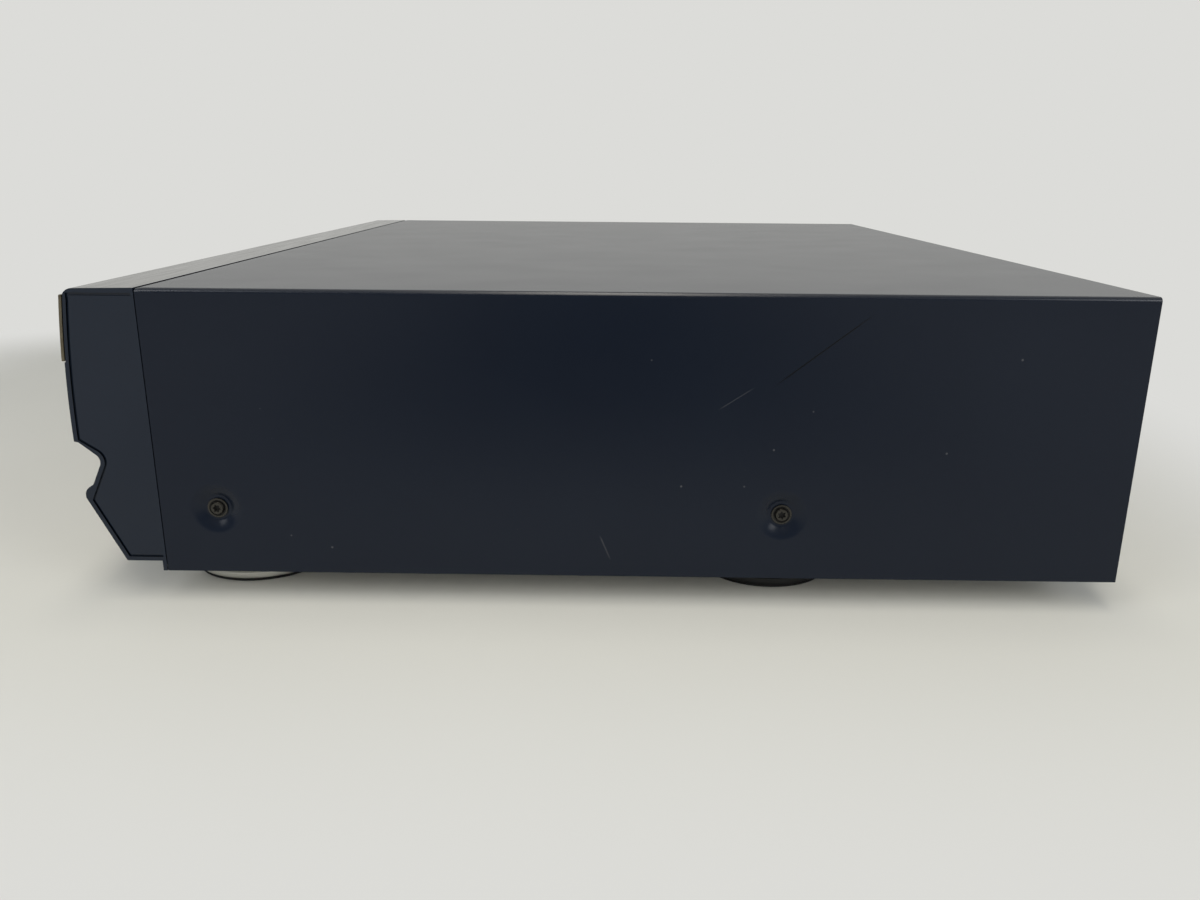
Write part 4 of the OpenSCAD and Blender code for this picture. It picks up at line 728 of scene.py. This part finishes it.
# %% Round the outside pieces
SHELL_END = -0.7
SEAM_FACE = -0.6
ACROSS, SAWN = 0.5, 0.9
shell_end, seam = spot(0, SHELL_END, 0), spot(0, SEAM_FACE, 0)
front = welded_copy("front_fascia", "front_fascia_rounded")
edit_all(front)
bpy.ops.mesh.bisect(plane_co=shell_end, plane_no=(0.0, 1.0, 0.0))
leave_edit()
round_edges(front, 0.3, test=lambda a, b: min(a.y, b.y) < seam.y)
stand_for(front, "front_fascia", fascia_plastic, SHARP)
second_finish(front, shell_metal, lambda c, n: abs(n.x) < ACROSS and c.y < shell_end.y)
strip = rounded("drawer_front", 0.3, strip_bronze)
second_finish(strip, strip_end, lambda c, n: abs(n.x) > SAWN)
rounded("front_feet", 0.35, foot_silver)
rounded("rear_feet", 0.35, foot_black)
rounded("foot_pads", 0.25, pad_rubber)
rounded("bottom_chassis", 0.2, zinc_sheet)
rounded("rear_panel", 0.2, zinc_sheet)

# %% [markdown]
# Screws.
# The cover, the rear and the feet are held by one kind of screw: a flange, a groove and a domed
# head with a star recess, blackened by its plating. It could be spun from a profile, but a star is
# not round, so a disc's face is inset ring by ring, the groove is drawn down, the head up in three
# rounding steps, and a star-shaped cutter leaves the recess. One screw is made and then copied.

# %% Model one screw
HEAD_R, FLANGE_H, HEAD_H = 3.6, 0.7, 1.6
SHANK_R, SHANK_L = 1.75, 4.0
GROOVE_OUT, GROOVE_IN, GROOVE_DEEP = 2.95, 2.5, 0.4
DOME = ((0.45, 0.12), (0.30, 0.28), (0.15, 0.0))
FACING, HAIR = 0.9, 0.0001
bpy.ops.object.select_all(action="DESELECT")
bpy.ops.mesh.primitive_cylinder_add(vertices=48, radius=HEAD_R / 1000, depth=FLANGE_H / 1000,
                                    location=(0.0, 0.0, FLANGE_H / 2000))
screw = bpy.context.object
screw.name = "screw_pattern"
settle(screw)
pick(screw, lambda c, n: n.z > FACING)
bpy.ops.mesh.inset(thickness=(HEAD_R - GROOVE_OUT) / 1000)
bpy.ops.mesh.inset(thickness=(GROOVE_OUT - GROOVE_IN) / 1000)
for rise, inward in DOME:
    narrower = (GROOVE_IN - inward) / GROOVE_IN
    draw_out(0.0, 0.0, rise)
    bpy.ops.transform.resize(value=(narrower, narrower, 1.0))
leave_edit()
pick(screw, lambda c, n: n.z > FACING and GROOVE_IN < c.xy.length * 1000 < GROOVE_OUT)
draw_out(0.0, 0.0, -GROOVE_DEEP)
leave_edit()
pick(screw, lambda c, n: n.z < -FACING and c.xy.length < HAIR)
bpy.ops.mesh.inset(thickness=(HEAD_R - SHANK_R) / 1000)
draw_out(0.0, 0.0, -SHANK_L)
leave_edit()
tallest = max(v.co.z for v in screw.data.vertices)
print("screw faces", len(screw.data.polygons), "height", round(tallest * 1000, 2), "mm")

# %% Cut the star recess
STAR_R, STAR_WAIST, STAR_FLOOR, CUTTER_H = 1.55, 0.62, 0.3, 2.0
bpy.ops.object.select_all(action="DESELECT")
bpy.ops.mesh.primitive_circle_add(vertices=12, radius=STAR_R / 1000, fill_type="NGON",
                                  location=(0.0, 0.0, STAR_FLOOR / 1000))
star = bpy.context.object
settle(star)
for point in star.data.vertices:
    if point.index % 2:
        point.co.xy *= STAR_WAIST
edit_all(star)
draw_out(0.0, 0.0, CUTTER_H)
face_outward()
recess = screw.modifiers.new("recess", "BOOLEAN")
recess.object = star
apply_all(screw)
bpy.data.objects.remove(star)
soften(screw, 0.08, 35.0)
print("screw with recess", len(screw.data.polygons), "faces")

# %% Find the recess and groove faces that take painted shade
# Painted shade: the star recess and the groove are coloured near black to stand in for the shade
# that falls in them.
ROOM_ROUND, ROOM_BELOW = 0.02, 0.12
recess_shade_paint = moulded("painted_shade_in_recess_and_groove", "#0a0908", "#100f0d", 0.6, 0.3, 0.05)
shaded_recess_faces = []
for face in screw.data.polygons:
    reach, height = face.center.xy.length * 1000, face.center.z * 1000
    in_star = reach < STAR_R + ROOM_ROUND and 0.0 < height < HEAD_H - ROOM_BELOW
    in_groove = GROOVE_IN - ROOM_ROUND < reach < GROOVE_OUT + ROOM_ROUND \
        and 0.0 < height < FLANGE_H - ROOM_BELOW
    if in_star or in_groove:
        shaded_recess_faces.append(face.index)
print("dark faces", len(shaded_recess_faces))

# %% Copy the screw to its places
REAR_SCREW_X, REAR_SCREW_Z = (-190.0, 0.0, 190.0), 96.0
FOOT_SEAT_Z = -5.0
REAR_FOOT_Y = 222.0
FIRST_TURN, NEXT_TURN = 17, 47
screw_spots = []
for side in (-1, 1):
    for y in DIMPLE_Y:
        seat = spot(side * (HALF_W - DIMPLE_DEEP), y, DIMPLE_Z)
        screw_spots.append(("cover_side_screws", seat, (0, side * 90, 0)))
for x in REAR_SCREW_X:
    screw_spots.append(("rear_screws", spot(x, COVER_D, REAR_SCREW_Z), (-90, 0, 0)))
for side in (-1, 1):
    for y in (FRONT_FOOT_Y, REAR_FOOT_Y):
        screw_spots.append(("foot_screws", spot(side * FOOT_X, y, FOOT_SEAT_Z), (180, 0, 0)))
for i, (node, at, angles) in enumerate(screw_spots):
    piece = screw.copy()
    piece.data = screw.data.copy()
    piece.name = node[:-1] + "_" + str(i + 1)
    bpy.context.scene.collection.objects.link(piece)
    spin = Matrix.Rotation(math.radians(FIRST_TURN + NEXT_TURN * i), 4, "Z")
    tilt = Matrix.Rotation(math.radians(angles[1]), 4, "Y") \
        @ Matrix.Rotation(math.radians(angles[0]), 4, "X")
    piece.data.transform(Matrix.Translation(at) @ tilt @ spin)
    stand_for(piece, node, screw_steel, 35.0)
    # the recess and groove faces get the painted shade, a near-black colour in place of their shade
    piece.data.materials.append(recess_shade_paint)
    for index in shaded_recess_faces:
        piece.data.polygons[index].material_index = 1
bpy.data.objects.remove(screw)
print("screws", len(screw_spots))

# %% [markdown]
# Keys and window.
# Each key is a moulded cap with softened edges that slides in its hole. A new cap could be modelled
# from a cube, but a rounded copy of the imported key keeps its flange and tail, so it still fits its
# guide when it is pressed. The window is a plain sheet with its edges broken.

# %% Round the keys and the window
disc_keys = ["disc_button_" + str(i) for i in range(1, 6)]
other_keys = ["power_button", "open_close_button", "disc_skip_button", "play_button",
              "pause_button", "stop_button", "skip_back_button", "skip_forward_button"]
for node in disc_keys + other_keys:
    rounded(node, 0.45, key_plastic, segments=3)
rounded("display_window", 0.3, window_acrylic)

# %% [markdown]
# Printed signs.
# Keys carry common signs in pale ink: a triangle to play, bars to pause, dots to count. A picture
# on the key could show them, but a flat shape stays crisp, so each sign is laid on the key and
# drawn out by a tenth of a millimetre, as thick ink is. It rides with its key in every pose.

# %% Ink and sign shapes
# Pad-printed ink gives the eye a soft white that is duller than the key.
ink = moulded("pale_pad_printed_ink", "#b4b6b4", "#c3c5c3", 0.5, 0.4, 0.02)
KEY_FACE_Y = (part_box("play_button")[0].y * 1000) - SEAM_Y
INK_BACK, INK_THICK = 0.06, 0.1


def sign_shape(x, z, corners, reach, turn, tall, wide):
    bpy.ops.object.select_all(action="DESELECT")
    bpy.ops.mesh.primitive_circle_add(vertices=corners, radius=reach / 1000, fill_type="NGON")
    shape = bpy.context.object
    shape.data.transform(Matrix.Diagonal((wide, tall, 1.0, 1.0))
                         @ Matrix.Rotation(math.radians(turn), 4, "Z"))
    shape.data.transform(Matrix.Translation(spot(x, KEY_FACE_Y + INK_BACK, z))
                         @ Matrix.Rotation(math.radians(90), 4, "X"))
    edit_all(shape)
    draw_out(0.0, -INK_THICK, 0.0)
    face_outward()
    return shape


def sign(node, shapes):
    low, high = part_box(node)
    x, z = (low.x + high.x) * 500, (low.z + high.z) * 500 - FEET_H
    made = [sign_shape(x + dx, z + dz, *form) for dx, dz, *form in shapes]
    bpy.ops.object.select_all(action="DESELECT")
    for shape in made:
        shape.select_set(True)
    bpy.context.view_layer.objects.active = made[0]
    if len(made) > 1:
        bpy.ops.object.join()
    made[0].name = node + "_sign"
    made[0].data.materials.append(ink)
    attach(made[0], body_of[node])


print("key faces at", round(KEY_FACE_Y, 2), "mm from the seam")

# %% Print the signs
# each shape: across and up from the key's middle, corners, reach, turn, height and width factors
RIGHT, LEFT, UP, SQUARE = 30.0, -30.0, 0.0, 45.0
signs = {
    "play_button": [(0, 0, 3, 2.0, RIGHT, 1.0, 1.0)],
    "pause_button": [(-0.95, 0, 4, 2.2, SQUARE, 1.0, 0.36), (0.95, 0, 4, 2.2, SQUARE, 1.0, 0.36)],
    "stop_button": [(0, 0, 4, 2.1, SQUARE, 1.0, 1.0)],
    "skip_back_button": [(-1.2, 0, 3, 1.7, LEFT, 1.0, 1.0), (1.4, 0, 3, 1.7, LEFT, 1.0, 1.0),
                         (-3.3, 0, 4, 2.1, SQUARE, 1.0, 0.25)],
    "skip_forward_button": [(-1.4, 0, 3, 1.7, RIGHT, 1.0, 1.0), (1.2, 0, 3, 1.7, RIGHT, 1.0, 1.0),
                            (3.3, 0, 4, 2.1, SQUARE, 1.0, 0.25)],
    "open_close_button": [(0, 0.5, 3, 1.9, UP, 1.0, 1.0), (0, -1.5, 4, 2.3, SQUARE, 0.25, 1.0)],
    "disc_skip_button": [(-1.7, 0, 28, 1.5, UP, 1.0, 1.0), (2.0, 0, 3, 1.5, RIGHT, 1.0, 1.0)],
    "power_button": [(0, 0, 4, 2.6, SQUARE, 1.0, 0.22)],
}
DOT_R, DOT_GAP = 0.55, 1.9
for i, node in enumerate(disc_keys):
    signs[node] = [((k - i / 2) * DOT_GAP, 0, 16, DOT_R, UP, 1.0, 1.0) for k in range(i + 1)]
for node, shapes in signs.items():
    sign(node, shapes)
print("signs", len(signs))

# %% [markdown]
# The level knob.
# A turned knob has fine flutes for the fingers, a dished face and a mark. The flutes could be cut
# with a tool shape one by one, but a cylinder already has strips, so every third strip is drawn
# inwards, and the face is inset and pressed back.

# %% Fluted knob
KNOB_STRIPS, FLUTE_EVERY, FLUTE_DEEP = 96, 3, 0.4
KNOB_RIM, KNOB_SLOPE, KNOB_DISH = 1.1, 0.6, 0.4
low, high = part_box("level_knob")
knob_at = (low + high) / 2
KNOB_R = (high.x - low.x) / 2
bpy.ops.object.select_all(action="DESELECT")
bpy.ops.mesh.primitive_cylinder_add(vertices=KNOB_STRIPS, radius=KNOB_R, depth=high.y - low.y,
                                    location=knob_at, rotation=(math.radians(90), 0.0, 0.0))
knob = bpy.context.object
knob.name = "fluted_level_knob"
settle(knob)


def flute(c, n):
    turn = math.degrees(math.atan2(n.z, n.x)) % 360
    return abs(n.y) < 0.5 and int(turn / (360 / KNOB_STRIPS)) % FLUTE_EVERY == 0


pick(knob, flute)
bpy.ops.mesh.extrude_faces_move(TRANSFORM_OT_shrink_fatten={"value": -FLUTE_DEEP / 1000})
leave_edit()
pick(knob, lambda c, n: n.y < -FACING)
bpy.ops.mesh.inset(thickness=KNOB_RIM / 1000)
bpy.ops.mesh.inset(thickness=KNOB_SLOPE / 1000)
bpy.ops.transform.translate(value=(0.0, KNOB_DISH / 1000, 0.0))
leave_edit()
soften(knob, 0.12, 28.0)
stand_for(knob, "level_knob", key_plastic, SHARP)
print("knob", round(KNOB_R * 2000, 1), "mm across, faces", len(knob.data.polygons))

# %% The knob's mark
MARK_SIZE, MARK_IN, MARK_UP = (0.9, 0.4, 3.6), 0.35, 4.2
mark_at = (knob_at.x, low.y + MARK_IN / 1000, knob_at.z + MARK_UP / 1000)
bpy.ops.object.select_all(action="DESELECT")
bpy.ops.mesh.primitive_cube_add(size=1.0, location=mark_at, scale=[v / 1000 for v in MARK_SIZE])
mark = bpy.context.object
mark.name = "level_knob_mark"
settle(mark)
soften(mark, 0.12)
mark.data.materials.append(ink)
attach(mark, body_of["level_knob"])
print("mark faces", len(mark.data.polygons))

# %% [markdown]
# Sockets.
# The headphone socket shows a plated ring, the mains inlet plated pins, and the rear sockets plated
# shells round a sunk insulator, on coloured collars, red for right and white for left. Rings and
# pins could be pieces of their own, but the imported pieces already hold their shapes, so rounded
# copies take a second finish on the faces that are metal on the real part.

# %% Plated ring and pins
FLANGE_T, JACK_BORE = 0.7, 4.5
PIN_X, PIN_HALF, INLET_FLOOR = 4.3, 1.4, 1.9
jack_low, jack_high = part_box("headphone_jack")
jack_mid = (jack_low + jack_high) / 2
inlet_low, inlet_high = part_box("mains_inlet")
inlet_mid = (inlet_low + inlet_high) / 2
panel_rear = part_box("rear_panel")[1].y


def on_ring(c, n):
    outside = math.hypot(c.x - jack_mid.x, c.z - jack_mid.z) > JACK_BORE / 1000
    return c.y < jack_low.y + FLANGE_T / 1000 and (n.y < -0.5 or outside)


def on_pin(c, n):
    aside = abs(abs(c.x - inlet_mid.x) - PIN_X / 1000)
    level = abs(c.z - inlet_mid.z)
    behind_floor = inlet_low.y + INLET_FLOOR / 1000 < c.y < panel_rear
    return max(aside, level) < PIN_HALF / 1000 and behind_floor


second_finish(rounded("headphone_jack", 0.25, jack_plastic), nickel, on_ring)
second_finish(rounded("mains_inlet", 0.3, jack_plastic), nickel, on_pin)

# %% Sink the insulator between each rear socket's shell and contact
PHONO_X, PHONO_Z = (-160.0, -140.0), 22.0
PHONO_LIP, PHONO_SINK = 0.6, 0.7
phono_at = [spot(x, 0, PHONO_Z) for x in PHONO_X]
phono_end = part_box("phono_jacks")[1].y
phono = welded_copy("phono_jacks", "phono_jacks_rounded")
pick(phono, lambda c, n: n.y > FACING and c.y > phono_end - HAIR)
bpy.ops.mesh.inset(thickness=PHONO_LIP / 1000)
draw_out(0.0, -PHONO_SINK, 0.0)
leave_edit()
round_edges(phono, 0.12)
stand_for(phono, "phono_jacks", jack_plastic, SHARP)


def on_shell(c, n):
    sunk = n.y > FACING and c.y < phono_end - 4 * HAIR
    return c.y > panel_rear + 2 * HAIR and not sunk


second_finish(phono, nickel, on_shell)

# %% Coloured collars of the rear sockets
# Coloured polystyrene gives the eye a clear flat colour with a small shine on the rim.
red_collar = moulded("red_socket_plastic", "#8e1c1c", "#9c2424", 0.4, 0.8, 0.04)
white_collar = moulded("white_socket_plastic", "#c9c7c0", "#d6d4cd", 0.4, 0.8, 0.04)
COLLAR_R, COLLAR_BORE, COLLAR_T = 7.2, 4.3, 1.4
for name, at, finish in (("left_socket_collar", phono_at[0], white_collar),
                         ("right_socket_collar", phono_at[1], red_collar)):
    bpy.ops.object.select_all(action="DESELECT")
    bpy.ops.mesh.primitive_cylinder_add(vertices=48, radius=COLLAR_R / 1000, depth=COLLAR_T / 1000,
                                        location=(at.x, panel_rear + COLLAR_T / 2000, at.z),
                                        rotation=(math.radians(90), 0.0, 0.0))
    collar = bpy.context.object
    collar.name = name
    settle(collar)
    pick(collar, lambda c, n: abs(n.y) > FACING)
    bpy.ops.mesh.inset(thickness=(COLLAR_R - COLLAR_BORE) / 1000)
    bpy.ops.mesh.bridge_edge_loops()
    leave_edit()
    soften(collar, 0.25)
    only(collar)
    bpy.ops.object.shade_smooth_by_angle(angle=math.radians(35))
    collar.data.materials.append(finish)
    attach(collar, body_of["phono_jacks"])
    print(name, "faces", len(collar.data.polygons))

# %% [markdown]
# The drawer's tray and carousel.
# When the drawer slides out, five round wells show on a turning platter. Each well has a smaller
# step for small discs. It could be drawn as a ring in the finish, but then it would cast no shade,
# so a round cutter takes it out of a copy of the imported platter. Only the upper edges are rounded,
# because the gear teeth below stay crisp.

# %% Small-disc steps in the wells
PLATTER_TOP, WELL_FLOOR, WELLS = 94.0, 91.5, 5
PLATTER_Y, RING_R = 150.0, 104.5
STEP_R, CUTTER_T, CUTTER_UP = 40.7, 2.0, 0.3
platter = welded_copy("carousel", "carousel_platter")
for i in range(WELLS):
    angle = math.radians(90 + 360 / WELLS * i)
    at = spot(RING_R * math.cos(angle), PLATTER_Y + RING_R * math.sin(angle),
              WELL_FLOOR + CUTTER_UP)
    bpy.ops.object.select_all(action="DESELECT")
    bpy.ops.mesh.primitive_cylinder_add(vertices=96, radius=STEP_R / 1000, depth=CUTTER_T / 1000,
                                        location=at)
    cutter = bpy.context.object
    step = platter.modifiers.new("small_disc_step", "BOOLEAN")
    step.object = cutter
    apply_all(platter)
    bpy.data.objects.remove(cutter)
print("platter faces", len(platter.data.polygons))

# %% Round the upper edges of platter and tray
TRAY_RIM = 81.0
platter_level, tray_level = spot(0, 0, PLATTER_TOP - 0.3).z, spot(0, 0, TRAY_RIM).z
round_edges(platter, 0.35, test=lambda a, b: min(a.z, b.z) > platter_level)
stand_for(platter, "carousel", mech_plastic)
tray = welded_copy("drawer_tray", "drawer_tray_rounded")
round_edges(tray, 0.3, test=lambda a, b: min(a.z, b.z) > tray_level)
stand_for(tray, "drawer_tray", mech_plastic)
rounded("carousel_cap", 0.3, rod_steel)

# %% [markdown]
# The pale table.
# The object stands on a pale table. A curved backdrop would hide the table's end in one view only,
# so the table itself fades into the pale room some way from the object, and every view has a plain
# background. The drawer's way out counts as part of the object, so that its shadow is kept.

# %% Pale table that fades into the room
# Table laminate gives the eye a pale even ground that takes a soft shadow.
ROOM = "#dcdcd9"
DRAWER_OUT, FADE_OVER = 0.235, 0.2


# what the camera sees, straight or by way of gloss or glass, and what gloss alone sees
def room_rays(tree):
    ray = add(tree, "ShaderNodeLightPath").outputs
    seen = add(tree, "ShaderNodeMath", None,
               {0: ray["Is Camera Ray"], 1: ray["Is Glossy Ray"]}, operation="MAXIMUM")
    seen = add(tree, "ShaderNodeMath", None,
               {0: seen.outputs[0], 1: ray["Is Transmission Ray"]}, operation="MAXIMUM")
    return seen.outputs[0], ray["Is Glossy Ray"]


table_top, tree, shader, place = new_finish("pale_table_laminate", Roughness=0.7)
cloud = add(tree, "ShaderNodeTexNoise", {"Scale": cells_of(180), "Detail": 4.0},
            {"Vector": place})
tone = add(tree, "ShaderNodeMix", {"A": linear("#cfcec6"), "B": linear("#d5d4cc")},
           {"Factor": cloud.outputs["Fac"]}, data_type="RGBA")
tree.links.new(tone.outputs["Result"], shader.inputs["Base Color"])
seen, mirrored = room_rays(tree)
parts = add(tree, "ShaderNodeSeparateXYZ", None, {"Vector": place})
past = {}
for axis, low, high in (("X", cad_box[0].x, cad_box[1].x),
                        ("Y", cad_box[0].y - DRAWER_OUT, cad_box[1].y)):
    moved = add(tree, "ShaderNodeMath", {1: (low + high) / 2}, {0: parts.outputs[axis]},
                operation="SUBTRACT")
    size = add(tree, "ShaderNodeMath", None, {0: moved.outputs[0]}, operation="ABSOLUTE")
    beyond = add(tree, "ShaderNodeMath", {1: (high - low) / 2}, {0: size.outputs[0]},
                 operation="SUBTRACT")
    past[axis] = add(tree, "ShaderNodeMath", {1: 0.0}, {0: beyond.outputs[0]},
                     operation="MAXIMUM").outputs[0]
gap = add(tree, "ShaderNodeCombineXYZ", None, past)
reach = add(tree, "ShaderNodeVectorMath", None, {0: gap.outputs[0]}, operation="LENGTH")
far = add(tree, "ShaderNodeMapRange", {"From Min": 0.0, "From Max": FADE_OVER},
          {"Value": reach.outputs["Value"]}, interpolation_type="SMOOTHSTEP")
fade = add(tree, "ShaderNodeMath", None, {0: far.outputs[0], 1: seen}, operation="MULTIPLY")
print("table nodes so far", len(tree.nodes))

# %% [markdown]
# A darker patch in the mirror.
# Satin paint mirrors the table in front of it, and a table that is pale all over would bleach the
# cover's side. A dark card laid there could cure that, but it would show in other views, so the
# table has a soft darker patch that only reflections can see.

# %% Darker patch, seen only in reflections
PATCH_CORE, PATCH_EDGE = 0.04, 0.34
PATCH_NEAR, PATCH_FAR = 0.28, 0.62
off_middle = add(tree, "ShaderNodeMath", None, {0: parts.outputs["Y"]}, operation="ABSOLUTE")
middle = add(tree, "ShaderNodeMapRange", {"From Min": PATCH_CORE, "From Max": PATCH_EDGE,
                                          "To Min": 1.0, "To Max": 0.0},
             {"Value": off_middle.outputs[0]}, interpolation_type="SMOOTHSTEP")
away = add(tree, "ShaderNodeMapRange", {"From Min": PATCH_NEAR, "From Max": PATCH_FAR},
           {"Value": parts.outputs["X"]}, interpolation_type="SMOOTHSTEP")
patch = add(tree, "ShaderNodeMath", None, {0: middle.outputs[0], 1: away.outputs[0]},
            operation="MULTIPLY")
hidden = add(tree, "ShaderNodeMath", None, {0: patch.outputs[0], 1: mirrored},
             operation="MULTIPLY")
tone = add(tree, "ShaderNodeMix", {"A": linear(ROOM), "B": linear("#3c3e42")},
           {"Factor": hidden.outputs[0]}, data_type="RGBA")
room = add(tree, "ShaderNodeEmission", None, {"Color": tone.outputs["Result"]})
both = add(tree, "ShaderNodeMixShader", None,
           {0: fade.outputs[0], 1: shader.outputs[0], 2: room.outputs[0]})
tree.links.new(both.outputs[0], tree.nodes["Material Output"].inputs["Surface"])

FLOOR_WIDE, FLOOR_BELOW = 30.0, 0.0002
bpy.ops.object.select_all(action="DESELECT")
bpy.ops.mesh.primitive_plane_add(size=FLOOR_WIDE, location=(0.0, 0.0, -FLOOR_BELOW))
floor = bpy.context.object
floor.name = "pale_floor"
floor.data.materials.append(table_top)
print("stage", floor.name, "nodes", len(tree.nodes))

# %% [markdown]
# Room and lamps.
# A pale room is seen behind the object and mirrored in it, while the light that it sheds stays
# weaker, so that the shadows keep their depth. One wide lamp above gives the top its sheen, two
# square ones to the sides put soft light into the ends of the cover, and a fill lamp that nothing
# mirrors lifts the near side. A sun lamp would be simpler, but its shadows are too hard for a room.

# %% Room
world = bpy.data.worlds.new("soft_room")
bpy.context.scene.world = world
world.use_nodes = True
tree = world.node_tree
seen, mirrored = room_rays(tree)
way = add(tree, "ShaderNodeSeparateXYZ", None,
          {"Vector": add(tree, "ShaderNodeTexCoord").outputs["Object"]})
near_side = add(tree, "ShaderNodeMapRange", {"From Min": 0.0, "From Max": 0.6},
                {"Value": way.outputs["X"]}, interpolation_type="SMOOTHSTEP")
dim = add(tree, "ShaderNodeMath", None, {0: near_side.outputs[0], 1: mirrored},
          operation="MULTIPLY")
walls = add(tree, "ShaderNodeMix", {"A": linear(ROOM), "B": linear("#50545c")},
            {"Factor": dim.outputs[0]}, data_type="RGBA")
glow = add(tree, "ShaderNodeMix", {"A": linear("#6f7681")},
           {"Factor": seen, "B": walls.outputs["Result"]}, data_type="RGBA")
tree.links.new(glow.outputs["Result"], tree.nodes["Background"].inputs["Color"])
print("room nodes", len(tree.nodes))

# %% Lamps
# place, aim and size in metres, watts, colour, and whether gloss shows the lamp
LAMPS = {
    "ceiling_lamp": ((0.62, 0.0, 1.5), (0.02, 0.0, 0.0), (0.3, 1.9), 13.5, "#fffaf0", True),
    "front_fill": ((1.75, 0.0, 0.70), (0.2, 0.0, 0.0), (1.8, 0.9), 14.0, "#fffcf6", False),
    "left_window": ((1.14, -1.16, 1.04), (0.0, 0.0, 0.05), (0.8, 0.8), 8.0, "#fbfdff", True),
    "right_window": ((1.21, 1.19, 0.81), (0.0, 0.0, 0.05), (0.8, 0.8), 8.0, "#fbfdff", True),
}
for name, (at, aim, size, watts, code, shown) in LAMPS.items():
    lamp = bpy.data.lights.new(name, "AREA")
    lamp.shape = "RECTANGLE"
    lamp.size, lamp.size_y = size
    lamp.energy = watts
    lamp.color = linear(code)[:3]
    holder = bpy.data.objects.new(name, lamp)
    bpy.context.scene.collection.objects.link(holder)
    holder.location = at
    holder.rotation_euler = (Vector(aim) - Vector(at)).to_track_quat("-Z", "Y").to_euler()
    holder.visible_glossy = shown
print("lamps", list(LAMPS))

# %% [markdown]
# Camera.
# A camera could be placed by eye until the picture looks right. Here its lens, height and tilt were
# worked out from the cabinet's corners in the photograph, so edges fall where they should.

# %% Camera at the photograph's place
PITCH, YAW, ROLL = (math.radians(a) for a in (16.207, -0.664, 0.466))
CAMERA_AT = (543.93, 160.15, 141.58)
FOCAL_PIXELS, PHOTO_WIDE, SENSOR = 970.0, 1200.0, 36.0
look = Vector((-math.cos(PITCH) * math.cos(YAW), math.cos(PITCH) * math.sin(YAW),
               -math.sin(PITCH)))
right = look.cross(Vector((0, 0, 1))).normalized()
up = right.cross(look)
right_rolled = right * math.cos(ROLL) + up * math.sin(ROLL)
up_rolled = up * math.cos(ROLL) - right * math.sin(ROLL)
eye = bpy.data.cameras.new("photo_view")
eye.sensor_width = SENSOR
eye.lens = FOCAL_PIXELS / PHOTO_WIDE * SENSOR
eye.clip_start = 0.01
camera = bpy.data.objects.new("photo_view", eye)
bpy.context.scene.collection.objects.link(camera)
turn = Matrix((right_rolled, up_rolled, -look)).transposed().to_4x4()
camera.matrix_world = Matrix.Translation(spot(*CAMERA_AT)) @ turn
bpy.context.scene.camera = camera
bpy.context.scene.view_settings.view_transform = "Standard"
print("camera at", [round(v, 4) for v in camera.location], "lens", round(eye.lens, 2))
